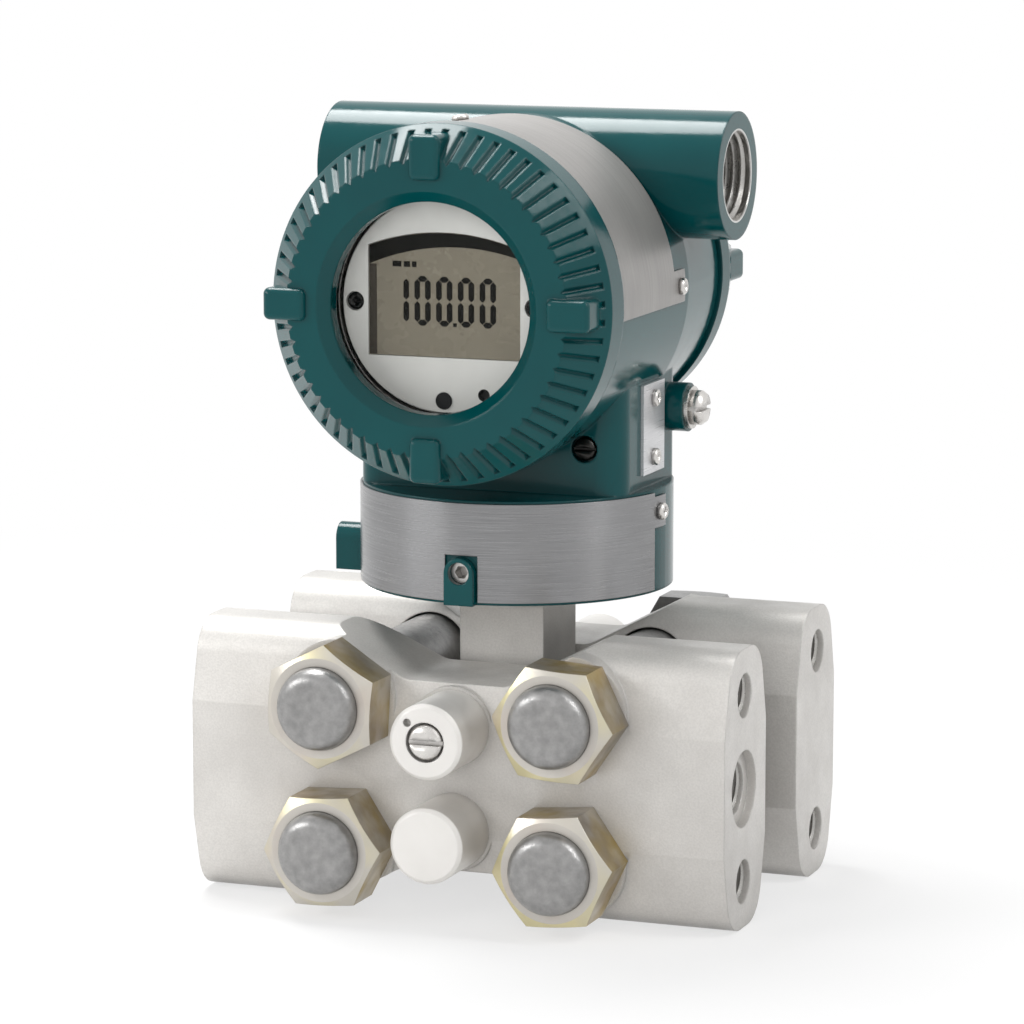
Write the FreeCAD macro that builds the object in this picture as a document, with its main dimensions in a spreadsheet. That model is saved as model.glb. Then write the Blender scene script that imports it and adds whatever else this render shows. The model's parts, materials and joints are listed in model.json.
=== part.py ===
import FreeCAD, Part
import math
import os
import re

import Sketcher

# Gauge pressure transmitter: a round display head on a capsule held between two cover flanges.
# X runs along the flanges and the conduit tube, with the process port at the +X end.
# The display faces -Y, the wiring terminals face +Y, and the flanges stand on Z = 0.

# Driving sizes, in millimetres and degrees
SIZES = {
    # Cover flanges
    "flange_length": 125.0,
    "flange_height": 62.0,
    "flange_thickness": 29.0,
    "flange_gap": 23.0,
    "flange_flat": 26.0,
    "flange_lean": 4.5,
    "flange_corner": 9.0,
    "waist_height": 42.0,
    "waist_floor": 24.0,
    "waist_slope": 1.9,
    "waist_fillet": 6.0,
    # Process connections in the flange ends
    "port_spacing": 54.0,
    "port_radius": 5.7,
    "port_depth": 16.0,
    "port_seat_radius": 8.5,
    "port_seat_depth": 2.0,
    "passage_radius": 2.5,
    "passage_inset": 8.0,
    "tapped_spacing": 41.3,
    "tapped_radius": 4.9,
    "bracket_radius": 4.25,
    "tapped_depth": 18.0,
    # Flange bolts and nuts
    "bolt_span": 53.8,
    "bolt_rise": 32.2,
    "bolt_radius": 9.2,
    "bolt_hole_gap": 0.5,
    "bolt_end": 4.0,
    "bolt_end_round": 3.5,
    "hex_across": 24.0,
    "head_height": 10.0,
    "nut_height": 12.0,
    "hex_chamfer": 1.6,
    "nut_seat_radius": 13.2,
    "thread_clearance": 0.05,
    # Vent and drain plugs
    "plug_spacing": 23.0,
    "plug_radius": 8.4,
    "plug_reach": 16.5,
    "plug_chamfer": 0.8,
    "plug_seat_margin": 0.8,
    "plug_thread_radius": 5.5,
    "plug_thread_length": 12.0,
    "vent_recess_radius": 4.4,
    "vent_recess_depth": 2.0,
    "vent_head_radius": 4.0,
    "vent_head_height": 2.6,
    "vent_shank_radius": 2.5,
    "vent_shank_length": 9.0,
    "vent_bleed_radius": 0.9,
    "vent_bleed_offset": 5.8,
    # Capsule and its inner pieces
    "capsule_radius": 21.5,
    "neck_block_width": 20.0,
    "gasket_thickness": 1.0,
    "gasket_outer": 20.5,
    "gasket_inner": 17.0,
    "chamber_radius": 16.0,
    "chamber_depth": 2.5,
    "diaphragm_radius": 15.0,
    "diaphragm_thickness": 0.4,
    "diaphragm_ridge": 0.5,
    "shoulder_radius": 20.6,
    "shoulder_gap": 4.0,
    "neck_radius": 20.0,
    "neck_length": 20.5,
    "neck_bore_radius": 6.0,
    "neck_bore_depth": 20.0,
    "sensor_height": 6.0,
    "lead_radius": 1.5,
    "lead_plug_radius": 2.4,
    "lead_plug_length": 5.0,
    # Swivel between neck and head
    "swivel_clearance": 0.05,
    "swivel_gap": 0.3,
    "lock_groove_depth": 1.5,
    "lock_groove_width": 7.0,
    "neck_seal_height": 16.0,
    "seal_section": 2.0,
    "seal_groove_width": 2.8,
    "seal_clearance": 0.1,
    # Collar of the head
    "collar_lift": 7.0,
    "collar_height": 23.0,
    "collar_radius": 35.0,
    "lock_height": 7.1,
    "lock_boss_radius": 3.4,
    "front_boss_reach": 37.2,
    "left_boss_reach": 43.2,
    "setscrew_radius": 2.4,
    "setscrew_socket": 1.3,
    "setscrew_inset": 2.0,
    "socket_depth": 3.0,
    # Pedestal between collar and barrel
    "pedestal_width": 63.0,
    "pedestal_depth": 40.0,
    "pedestal_corner": 6.0,
    "cable_way_radius": 5.0,
    "cable_way_offset": 3.0,
    # Barrel of the head
    "axis_rise": 44.0,
    "barrel_radius": 37.5,
    "barrel_back_radius": 35.2,
    "barrel_taper": 8.0,
    "barrel_bore": 31.0,
    "barrel_front": 39.5,
    "barrel_back": 36.0,
    "partition_front": 3.5,
    "partition_thickness": 3.0,
    "cover_thread_radius": 33.0,
    "cover_thread_depth": 10.5,
    # Conduit tube
    "tube_radius": 14.25,
    "tube_length": 95.0,
    "tube_offset": 11.5,
    "tube_rise": 24.5,
    "entry_radius": 10.0,
    "entry_depth": 17.0,
    "tube_passage_radius": 4.8,
    "conduit_plug_length": 14.0,
    "conduit_plug_inset": 1.0,
    "conduit_socket": 5.8,
    "conduit_socket_depth": 7.0,
    # Covers
    "cover_gap": 0.2,
    "cover_thread_gap": 0.3,
    "skirt_length": 9.0,
    "skirt_bore": 28.5,
    "display_rim_radius": 39.0,
    "display_rim_length": 7.5,
    "terminal_rim_radius": 36.2,
    "terminal_rim_length": 5.5,
    "cover_front": 56.0,
    "cover_back": 56.0,
    "cover_face_radius": 32.0,
    "cover_wall": 4.0,
    "lug_count": 4,
    "lug_width": 7.0,
    "lug_inner": 27.5,
    "display_lug_outer": 37.2,
    "terminal_lug_outer": 34.6,
    "lug_depth": 11.5,
    "lug_proud": 1.5,
    "lug_round": 1.4,
    "groove_count": 60,
    "groove_depth": 0.8,
    "groove_size": 3.0,
    "groove_start": 1.8,
    # Window and indicator
    "window_bevel_radius": 25.2,
    "window_radius": 22.8,
    "window_bevel_depth": 2.5,
    "window_lip": 3.2,
    "glass_radius": 25.8,
    "glass_clearance": 0.2,
    "glass_thickness": 4.0,
    "window_gasket_thickness": 0.5,
    "retainer_radius": 24.0,
    "retainer_thickness": 2.5,
    "bezel_gap": 0.6,
    "bezel_radius": 23.3,
    "bezel_step": 5.2,
    "bezel_base_radius": 27.8,
    "lcd_width": 35.0,
    "lcd_height": 27.0,
    "lcd_arch": 50.0,
    "lcd_rise": 2.0,
    "lcd_recess": 1.5,
    "lcd_thickness": 1.2,
    "indicator_screw_offset": 20.6,
    "small_head_radius": 1.9,
    "small_head_height": 1.2,
    "small_shank_radius": 1.2,
    "small_shank_length": 5.0,
    "screw_recess_gap": 0.2,
    "screw_recess_depth": 1.3,
    "button_drop": 20.8,
    "button_radius": 1.8,
    "button_length": 4.0,
    "button_proud": 0.4,
    "button_travel": 1.0,
    "button_clearance": 0.08,
    "dimple_across": 9.2,
    "dimple_drop": 19.2,
    "dimple_radius": 1.3,
    "dimple_depth": 2.0,
    # Electronics
    "case_front": 31.0,
    "case_radius": 27.5,
    "case_wall": 1.5,
    "case_floor": 2.0,
    "board_height": 24.0,
    "board_thickness": 1.6,
    "board_clearance": 0.1,
    "ledge_width": 1.5,
    # Terminals
    "block_radius": 26.0,
    "block_depth": 11.0,
    "block_crown": 14.0,
    "terminal_count": 4,
    "terminal_pitch": 10.0,
    "terminal_drop": 6.0,
    "terminal_head_radius": 3.2,
    "terminal_head_height": 2.2,
    "terminal_shank_radius": 1.75,
    "terminal_shank_length": 6.0,
    "clamp_width": 7.6,
    "clamp_thickness": 1.0,
    "block_screw_spacing": 40.0,
    "block_screw_rise": 4.0,
    "pin_count": 3,
    "pin_pitch": 6.0,
    "pin_rise": 8.0,
    "pin_radius": 0.8,
    "pin_grip": 3.0,
    # Zero adjustment
    "zero_across": 23.0,
    "zero_rise": 10.4,
    "zero_recess_radius": 3.0,
    "zero_recess_depth": 1.5,
    "zero_head_radius": 2.6,
    "zero_head_height": 1.9,
    "zero_shank_radius": 1.8,
    "zero_shank_length": 10.0,
    # Ground terminal
    "ground_across": 36.0,
    "ground_offset": 13.5,
    "ground_rise": 16.0,
    "ground_boss_radius": 5.5,
    "ground_boss_length": 10.0,
    "ground_washer_radius": 4.8,
    "ground_washer_thickness": 1.0,
    "ground_head_radius": 3.9,
    "ground_head_height": 3.0,
    "ground_shank_radius": 2.0,
    "ground_shank_length": 8.0,
    # Blank plates
    "plate_thickness": 0.5,
    "plate_clearance": 0.05,
    "plate_screw_length": 3.5,
    "band_edge": 0.6,
    "band_right_angle": -11.0,
    "band_sweep_angle": 174.0,
    "band_tab_angle": 9.0,
    "band_tab_drop": 1.5,
    "band_tab_height": 7.0,
    "band_notch_gap": 0.4,
    "band_screw_right_angle": -6.5,
    "band_screw_left_angle": 179.0,
    "barrel_plate_margin": 0.7,
    "plate_tube_gap": 0.4,
    "barrel_plate_angle": -4.5,
    "barrel_sweep_angle": 110.0,
    "barrel_tab_length": 7.2,
    "barrel_tab_angle": 11.0,
    "barrel_screw_tab_angle": 1.0,
    "barrel_screw_tab_inset": 3.0,
    "barrel_screw_top_angle": 99.0,
    "barrel_screw_top_back": 20.0,
    "tag_width": 14.0,
    "tag_gap_below": 3.0,
    "tag_gap_above": 1.8,
    "tag_thickness": 0.8,
    "tag_screw_margin": 3.5,
}

# Places worked out from the driving sizes
PLACES = {
    "port_axis": "flange_height / 2",
    "waist_mouth": "waist_floor + waist_slope * (flange_height - waist_height)",
    "flange_face": "flange_gap / 2 + flange_thickness",
    "capsule_face": "flange_gap / 2 - gasket_thickness",
    "collar_bottom": "flange_height + collar_lift",
    "collar_top": "collar_bottom + collar_height",
    "shoulder_top": "collar_bottom - swivel_gap",
    "neck_top": "shoulder_top + neck_length",
    "collar_bore": "neck_radius + swivel_clearance",
    "collar_ceiling": "neck_top + swivel_gap",
    "lock_axis": "collar_bottom + lock_height",
    "neck_seal_axis": "collar_bottom + neck_seal_height",
    "housing_axis": "collar_top + axis_rise",
    "tube_height": "housing_axis + tube_rise",
    "partition_back": "partition_front + partition_thickness",
    "skirt_radius": "cover_thread_radius - cover_thread_gap",
    "seal_floor": "skirt_radius - seal_section - seal_clearance",
    "lip_back": "cover_front - window_bevel_depth - window_lip",
    "glass_front": "lip_back - window_gasket_thickness",
    "glass_back": "glass_front - glass_thickness",
    "retainer_back": "glass_back - retainer_thickness",
    "bezel_front": "glass_back - bezel_gap",
    "lcd_axis": "housing_axis + lcd_rise",
    "button_axis": "housing_axis - button_drop",
    "terminal_axis": "housing_axis - terminal_drop",
    "block_face": "partition_back + block_depth",
    "pin_axis": "housing_axis + pin_rise",
    "block_screw_axis": "housing_axis + block_screw_rise",
    "band_tab_bottom": "collar_top - band_tab_drop - band_tab_height",
    "band_screw_height": "band_tab_bottom + band_tab_height / 2",
    "band_inner": "collar_radius + plate_clearance",
    "plate_inner": "barrel_radius + plate_clearance",
    "plate_front": "barrel_front - barrel_plate_margin",
    "plate_back": "tube_radius - tube_offset + plate_tube_gap",
    "plate_tab_back": "barrel_tab_length - plate_back",
    "barrel_screw_tab": "plate_tab_back - barrel_screw_tab_inset",
    "pedestal_face": "pedestal_depth / 2",
    "pedestal_side": "pedestal_width / 2",
    "tag_outside": "pedestal_side + tag_thickness",
    "tag_bottom": "collar_top + tag_gap_below",
    "barrel_over_tag": "sqrt(barrel_radius * barrel_radius - tag_outside * tag_outside)",
    "tag_top": "housing_axis - barrel_over_tag - tag_gap_above",
    "zero_height": "collar_top + zero_rise",
    "zero_floor": "pedestal_face - zero_recess_depth",
    "ground_height": "collar_top + ground_rise",
    "case_bore": "case_radius - case_wall",
    "lead_plug_top": "housing_axis - case_radius + case_wall + ledge_width",
}

VECTOR = FreeCAD.Vector
DIRECTIONS = {
    "x": FreeCAD.Rotation(VECTOR(0, 1, 0), 90),
    "-x": FreeCAD.Rotation(VECTOR(0, 1, 0), -90),
    "y": FreeCAD.Rotation(VECTOR(1, 0, 0), -90),
    "-y": FreeCAD.Rotation(VECTOR(1, 0, 0), 90),
    "z": FreeCAD.Rotation(),
}
# Degrees that each nut stands turned after tightening, by column and row
NUT_TURNS = {(-1, -1): 3.0, (-1, 1): 27.0, (1, -1): 5.0, (1, 1): -4.0}
# Shares of a screw head: its height below the chamfer and its radius above it
HEAD_SIDE = 0.65
HEAD_CROWN = 0.8
# Fall of a hexagon's corner chamfer: across for each unit of height
CHAMFER_SLOPE = 1.7
# Shares of a diaphragm's radius at the outer foot, crest and inner foot of its ridge
RIDGE_FEET = (0.8, 0.6)
RIDGE_CREST = 0.7
WORD = re.compile(r"[a-z]\w*")
SMALL = 1e-4

doc = FreeCAD.newDocument("PressureTransmitter")
sheet = doc.addObject("Spreadsheet::Sheet", "Sizes")
pieces = {}


# Helpers: sizes and expressions

def fill_sheet():
    """One row a size: its name beside its value."""
    for row, (alias, value) in enumerate(SIZES.items(), start=1):
        sheet.set(f"A{row}", alias)
        sheet.set(f"B{row}", str(value))
        sheet.setAlias(f"B{row}", alias)
    doc.recompute()


def in_sizes(text, prefix=""):
    """The expression with each place written out in sizes."""
    def replace(found):
        word = found.group()
        if word in PLACES:
            return f"({in_sizes(PLACES[word], prefix)})"
        return prefix + word if word in SIZES else word
    return WORD.sub(replace, text)


def cell(text):
    """The expression with each size name pointing at the sheet."""
    return in_sizes(text, "Sizes.")


def number(text):
    """The present value of an expression."""
    return float(sheet.evalExpression(in_sizes(text)))


def bind(item, **sizes):
    """Tie properties of an object to expressions."""
    for name, text in sizes.items():
        item.setExpression(name, cell(text))


def place(item, at, direction="z", spin=0.0):
    """Put an object at a point, its own Z along a direction, turned about that direction by spin."""
    turn = DIRECTIONS[direction].multiply(FreeCAD.Rotation(VECTOR(0, 0, 1), spin))
    item.Placement = FreeCAD.Placement(VECTOR(), turn)
    set_base(item, at)


def place_on_round(item, about, angle, radius, along):
    """Stand an object on the collar or the barrel, its own Z pointing away from that part's axis."""
    turn = math.radians(SIZES[angle])
    across = f"{radius} * cos({angle})"
    up = f"{radius} * sin({angle})"
    if about == "collar":
        outward = VECTOR(math.cos(turn), math.sin(turn), 0)
        at = (across, up, along)
    else:
        outward = VECTOR(math.cos(turn), 0, math.sin(turn))
        at = (across, along, f"housing_axis + {up}")
    item.Placement = FreeCAD.Placement(VECTOR(), FreeCAD.Rotation(VECTOR(0, 0, 1), outward))
    set_base(item, at)


def set_base(item, at):
    for name, text in zip("xyz", at):
        item.setExpression(f"Placement.Base.{name}", cell(text))


def keep(label, item):
    """Name an object as one of the sub-parts."""
    item.Label = label
    pieces[label] = item
    return item


# Helpers: sketches and bodies

def origin_feature(body, role):
    return next(feature for feature in body.Origin.OriginFeatures if feature.Role == role)


def sketch_on(body, name, plane):
    sketch = body.newObject("Sketcher::SketchObject", name)
    sketch.AttachmentSupport = [(origin_feature(body, plane), "")]
    sketch.MapMode = "FlatFace"
    return sketch


def outline(sketch, corners):
    """Closed straight-sided outline; each corner is a pair of expressions."""
    first = sketch.GeometryCount
    points = [VECTOR(number(across), number(up), 0) for across, up in corners]
    count = len(points)
    for index in range(count):
        sketch.addGeometry(Part.LineSegment(points[index], points[(index + 1) % count]))
    for index, corner in enumerate(corners):
        line = first + index
        following = first + (index + 1) % count
        sketch.addConstraint(Sketcher.Constraint("Coincident", line, 2, following, 1))
        for kind, text in zip(("DistanceX", "DistanceY"), corner):
            datum = sketch.addConstraint(Sketcher.Constraint(kind, -1, 1, line, 1, number(text)))
            sketch.setExpression(f"Constraints[{datum}]", cell(text))


def new_body(name):
    return doc.addObject("PartDesign::Body", name)


def add_turned(body, name, corners):
    """Turn an outline of (radius, height) corners about the body's own Z axis."""
    sketch = sketch_on(body, f"{name}_profile", "XZ_Plane")
    outline(sketch, corners)
    turn = body.newObject("PartDesign::Revolution", name)
    turn.Profile = sketch
    turn.ReferenceAxis = (origin_feature(body, "Z_Axis"), [""])
    turn.Angle = 360
    return turn


def turned(name, corners, at=("0", "0", "0"), direction="z"):
    """A piece turned about its own axis and set in place."""
    body = new_body(name)
    add_turned(body, f"{name}_turn", corners)
    place(body, at, direction)
    return body


def shape_feature(body, kind, name, at, direction="z", spin=0.0, **sizes):
    """An additive or subtractive primitive of a body."""
    feature = body.newObject(f"PartDesign::{kind}", name)
    bind(feature, **sizes)
    place(feature, at, direction, spin)
    return feature


def boss(body, name, at, direction, radius, length):
    """A round boss or bar of a body."""
    return shape_feature(body, "AdditiveCylinder", name, at, direction, Radius=radius, Height=length)


def bore(body, name, at, direction, radius, depth):
    """A round hole in a body, running from a point along a direction."""
    return shape_feature(body, "SubtractiveCylinder", name, at, direction, Radius=radius, Height=depth)


def round_edges(body, name, radius, wanted):
    """Fillet the edges of the body's last feature that pass a test."""
    doc.recompute()
    base = body.Tip
    edges = [f"Edge{index}" for index, edge in enumerate(base.Shape.Edges, start=1) if wanted(edge)]
    fillet = body.newObject("PartDesign::Fillet", name)
    fillet.Base = (base, edges)
    bind(fillet, Radius=radius)
    return fillet


def runs_along(edge, axis):
    """True for a straight edge parallel to an axis vector."""
    if edge.Curve.TypeId != "Part::GeomLine":
        return False
    return edge.Curve.Direction.cross(axis).Length < SMALL


def is_near(value, text):
    return abs(value - number(text)) < SMALL


# Helpers: free-standing primitives

def primitive(kind, name, at, direction="z", spin=0.0, **sizes):
    item = doc.addObject(f"Part::{kind}", name)
    bind(item, **sizes)
    place(item, at, direction, spin)
    return item


def hexagon(name, across_flats, height, at, direction, spin=0.0):
    prism = primitive("Prism", name, at, direction, spin, Height=height)
    prism.Polygon = 6
    bind(prism, Circumradius=f"({across_flats}) / sqrt(3)")
    return prism


def cut(name, base, tools):
    result = base
    for index, tool in enumerate(tools):
        step = doc.addObject("Part::Cut", f"{name}_cut{index}")
        step.Base = result
        step.Tool = tool
        result = step
    return result


def fuse(name, shapes):
    result = doc.addObject("Part::MultiFuse", name)
    result.Shapes = shapes
    return result


def common(name, shapes):
    result = doc.addObject("Part::MultiCommon", name)
    result.Shapes = shapes
    return result


def group(label, members):
    """Identical fasteners in one node, each a solid of its own."""
    compound = doc.addObject("Part::Compound", label)
    compound.Links = members
    return keep(label, compound)


def screw(name, head_radius, head_height, shank_radius, shank_length, at, direction):
    """Screw with a chamfered round head; its own Z points out of the head."""
    corners = [
        ("0", f"-({shank_length})"),
        (shank_radius, f"-({shank_length})"),
        (shank_radius, "0"),
        (head_radius, "0"),
        (head_radius, f"({head_height}) * {HEAD_SIDE}"),
        (f"({head_radius}) * {HEAD_CROWN}", head_height),
        ("0", head_height),
    ]
    return turned(name, corners, at, direction)


def small_screw(name, at, direction, length="small_shank_length"):
    return screw(name, "small_head_radius", "small_head_height", "small_shank_radius", length, at, direction)


def small_screw_hole(body, name, at, direction):
    """Blind hole for a small screw; its own Z points into the material."""
    bore(body, name, at, direction, "small_shank_radius + thread_clearance", "small_shank_length")


# Cover flanges

def flange(label, side, has_port):
    """One cover flange; side is -1 at the front and 1 at the back."""
    outer = f"{side} * flange_face"
    outer_lean = f"{side} * (flange_face - flange_lean)"
    inner = f"{side} * flange_gap / 2"
    inner_lean = f"{side} * (flange_gap / 2 + flange_lean)"
    low = "port_axis - flange_flat / 2"
    high = "port_axis + flange_flat / 2"
    body = new_body(label)
    sketch = sketch_on(body, f"{label}_section", "YZ_Plane")
    sketch.setExpression("AttachmentOffset.Base.z", cell("-flange_length / 2"))
    outline(sketch, [
        (outer, low), (outer, high), (outer_lean, "flange_height"), (inner_lean, "flange_height"),
        (inner, high), (inner, low), (inner_lean, "0"), (outer_lean, "0")])
    pad = body.newObject("PartDesign::Pad", f"{label}_bar")
    pad.Profile = sketch
    bind(pad, Length="flange_length")
    along = VECTOR(1, 0, 0)

    def is_corner(edge):
        height = edge.Vertexes[0].Point.z
        return runs_along(edge, along) and (is_near(height, "0") or is_near(height, "flange_height"))

    round_edges(body, f"{label}_corners", "flange_corner", is_corner)
    flange_seats(body, label, side)
    flange_waist(body, label)
    flange_holes(body, label, side)
    if has_port:
        process_port(body, label, side)
    return keep(label, body)


def flange_seats(body, label, side):
    """Round bosses that carry the outer face out to the nuts and plugs above and below its flat strip."""
    outward = "y" if side > 0 else "-y"
    middle = f"{side} * (flange_gap + flange_thickness) / 2"
    for row in (-1, 1):
        for column in (-1, 1):
            boss(body, f"{label}_nut_seat",
                 (f"{column} * bolt_span / 2", middle, f"port_axis + {row} * bolt_rise / 2"), outward,
                 "nut_seat_radius", "flange_thickness / 2")
        boss(body, f"{label}_plug_seat", ("0", middle, f"port_axis + {row} * plug_spacing / 2"), outward,
             "plug_radius + plug_seat_margin", "flange_thickness / 2")


def flange_waist(body, label):
    """Scoops above and below the middle of the flange."""
    sketch = sketch_on(body, f"{label}_scoops", "XZ_Plane")
    for rim, floor in (("flange_height", "port_axis + waist_height / 2"),
                       ("0", "port_axis - waist_height / 2")):
        outline(sketch, [("-waist_mouth / 2", rim), ("-waist_floor / 2", floor),
                         ("waist_floor / 2", floor), ("waist_mouth / 2", rim)])
    pocket = body.newObject("PartDesign::Pocket", f"{label}_waist")
    pocket.Profile = sketch
    pocket.Type = "ThroughAll"
    pocket.SideType = "Symmetric"
    across = VECTOR(0, 1, 0)

    def is_scoop_corner(edge):
        offset = abs(edge.Vertexes[0].Point.x)
        return runs_along(edge, across) and is_near(offset, "waist_floor / 2")

    round_edges(body, f"{label}_waist_rounds", "waist_fillet", is_scoop_corner)


def flange_holes(body, label, side):
    """Bolt holes, plug holes, pressure chamber and the tapped holes in both ends."""
    outward = "y" if side > 0 else "-y"
    inner = f"{side} * flange_gap / 2"
    middle = f"{side} * (flange_face - plug_thread_length)"
    for column in (-1, 1):
        for row in (-1, 1):
            bore(body, f"{label}_bolt_hole",
                 (f"{column} * bolt_span / 2", inner, f"port_axis + {row} * bolt_rise / 2"), outward,
                 "bolt_radius + bolt_hole_gap", "flange_thickness")
            end, thread = ("x", "tapped_radius") if column > 0 else ("-x", "bracket_radius")
            floor = f"{column} * (flange_length / 2 - tapped_depth)"
            bore(body, f"{label}_tapped_hole",
                 (floor, f"{side} * port_spacing / 2", f"port_axis + {row} * tapped_spacing / 2"), end,
                 thread, "tapped_depth")
    for row in (-1, 1):
        height = f"port_axis + {row} * plug_spacing / 2"
        bore(body, f"{label}_plug_hole", ("0", middle, height), outward,
             "plug_thread_radius + thread_clearance", "plug_thread_length")
        bore(body, f"{label}_plug_passage", ("0", inner, height), outward,
             "passage_radius", "flange_thickness - plug_thread_length")
    bore(body, f"{label}_chamber", ("0", inner, "port_axis"), outward, "chamber_radius", "chamber_depth")


def process_port(body, label, side):
    """Threaded port in the +X end, joined to the pressure chamber by two drilled passages."""
    across = f"{side} * port_spacing / 2"
    end = "flange_length / 2"
    bore(body, f"{label}_port", (f"{end} - port_depth", across, "port_axis"), "x",
         "port_radius", "port_depth")
    bore(body, f"{label}_port_seat", (f"{end} - port_seat_depth", across, "port_axis"), "x",
         "port_seat_radius", "port_seat_depth")
    bore(body, f"{label}_port_passage", ("passage_inset", across, "port_axis"), "x",
         "passage_radius", f"{end} - port_depth - passage_inset")
    bore(body, f"{label}_port_elbow",
         ("passage_inset", f"{side} * flange_gap / 2", "port_axis"), "y" if side > 0 else "-y",
         "passage_radius", "(port_spacing - flange_gap) / 2 + passage_radius")


# Flange bolts, nuts and plugs

def chamfered_hexagon(name, height, at, direction, spin=0.0):
    """Hexagon with the corners of its free end turned off."""
    prism = hexagon(f"{name}_hexagon", "hex_across", height, at, direction, spin)
    corner = "(hex_across / sqrt(3))"
    envelope = turned(f"{name}_envelope", [
        ("0", "0"),
        (corner, "0"),
        (corner, f"{height} - hex_chamfer"),
        (f"{corner} - hex_chamfer * {CHAMFER_SLOPE}", height),
        ("0", height)], at, direction)
    return common(f"{name}_chamfered", [prism, envelope])


def bolt(name, across, height):
    """Hexagon head at the back, shank through both flanges, rounded end at the front."""
    seat = (across, "flange_face", height)
    length = "(2 * flange_face + nut_height + bolt_end)"
    corners = [("0", "0"), ("bolt_radius", "0"), ("bolt_radius", length), ("0", length)]
    shank = turned(f"{name}_shank", corners, seat, "-y")

    def is_far_end(edge):
        return edge.Curve.TypeId == "Part::GeomCircle" and is_near(edge.Curve.Center.z, length)

    round_edges(shank, f"{name}_end", "bolt_end_round", is_far_end)
    head = chamfered_hexagon(f"{name}_head", "head_height", seat, "y")
    return fuse(name, [head, shank])


def nut(name, across, height, spin):
    seat = (across, "-flange_face", height)
    blank = chamfered_hexagon(name, "nut_height", seat, "-y", spin)
    hole = primitive("Cylinder", f"{name}_hole", seat, "-y",
                     Radius="bolt_radius + thread_clearance", Height="nut_height")
    return cut(name, blank, [hole])


def bolts_and_nuts():
    bolts = []
    nuts = []
    for column in (-1, 1):
        for row in (-1, 1):
            across = f"{column} * bolt_span / 2"
            height = f"port_axis + {row} * bolt_rise / 2"
            number_in_row = len(bolts) + 1
            bolts.append(bolt(f"bolt{number_in_row}", across, height))
            nuts.append(nut(f"nut{number_in_row}", across, height, NUT_TURNS[column, row]))
    group("flange_bolts", bolts)
    group("flange_nuts", nuts)


def plug(name, side, row):
    """Round plug screwed into the outer face of a flange."""
    corners = [
        ("0", "-plug_thread_length"),
        ("plug_thread_radius", "-plug_thread_length"),
        ("plug_thread_radius", "0"),
        ("plug_radius", "0"),
        ("plug_radius", "plug_reach - plug_chamfer"),
        ("plug_radius - plug_chamfer", "plug_reach"),
        ("0", "plug_reach"),
    ]
    at = ("0", f"{side} * flange_face", f"port_axis + {row} * plug_spacing / 2")
    return turned(name, corners, at, "y" if side > 0 else "-y")


def vent_and_drain():
    keep("drain_plug", plug("drain_plug", -1, -1))
    vent = keep("vent_plug", plug("vent_plug", -1, 1))
    recess_floor = "(plug_reach - vent_recess_depth)"
    bore(vent, "vent_recess", ("0", "0", recess_floor), "z", "vent_recess_radius", "vent_recess_depth")
    bore(vent, "vent_thread", ("0", "0", f"{recess_floor} - vent_shank_length"), "z",
         "vent_shank_radius + swivel_clearance", "vent_shank_length")
    bore(vent, "vent_bleed",
         ("-vent_bleed_offset * cos(45)", "vent_bleed_offset * sin(45)", recess_floor), "z",
         "vent_bleed_radius", "vent_recess_depth")
    at = ("0", f"-flange_face - {recess_floor}", "port_axis + plug_spacing / 2")
    keep("vent_screw", screw("vent_screw", "vent_head_radius", "vent_head_height", "vent_shank_radius",
                             "vent_shank_length", at, "-y"))
    group("low_side_plugs", [plug("low_plug_lower", 1, -1), plug("low_plug_upper", 1, 1)])


# Capsule and what it holds

def capsule():
    body = new_body("capsule_body")
    boss(body, "capsule_disc", ("0", "-capsule_face", "port_axis"), "y",
         "capsule_radius", "2 * capsule_face")
    shape_feature(body, "AdditiveBox", "neck_block", ("-neck_block_width / 2", "-capsule_face", "port_axis"),
                  Length="neck_block_width", Width="2 * capsule_face",
                  Height="shoulder_top - port_axis")
    groove = "(neck_radius - lock_groove_depth)"
    seal_floor = "(neck_radius - seal_section - seal_clearance)"
    groove_low = "lock_axis - lock_groove_width / 2"
    groove_high = "lock_axis + lock_groove_width / 2"
    seal_low = "neck_seal_axis - seal_groove_width / 2"
    seal_high = "neck_seal_axis + seal_groove_width / 2"
    add_turned(body, "capsule_neck", [
        ("0", "flange_height + shoulder_gap"),
        ("shoulder_radius", "flange_height + shoulder_gap"),
        ("shoulder_radius", "shoulder_top"),
        ("neck_radius", "shoulder_top"),
        ("neck_radius", groove_low),
        (groove, groove_low),
        (groove, groove_high),
        ("neck_radius", groove_high),
        ("neck_radius", seal_low),
        (seal_floor, seal_low),
        (seal_floor, seal_high),
        ("neck_radius", seal_high),
        ("neck_radius", "neck_top"),
        ("0", "neck_top")])
    bore(body, "neck_bore", ("0", "0", "neck_top - neck_bore_depth"), "z",
         "neck_bore_radius", "neck_bore_depth")
    for side, inward in ((-1, "y"), (1, "-y")):
        bore(body, "diaphragm_seat", ("0", f"{side} * capsule_face", "port_axis"), inward,
             "diaphragm_radius + seal_clearance", "diaphragm_thickness")
    keep("capsule_body", body)


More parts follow.
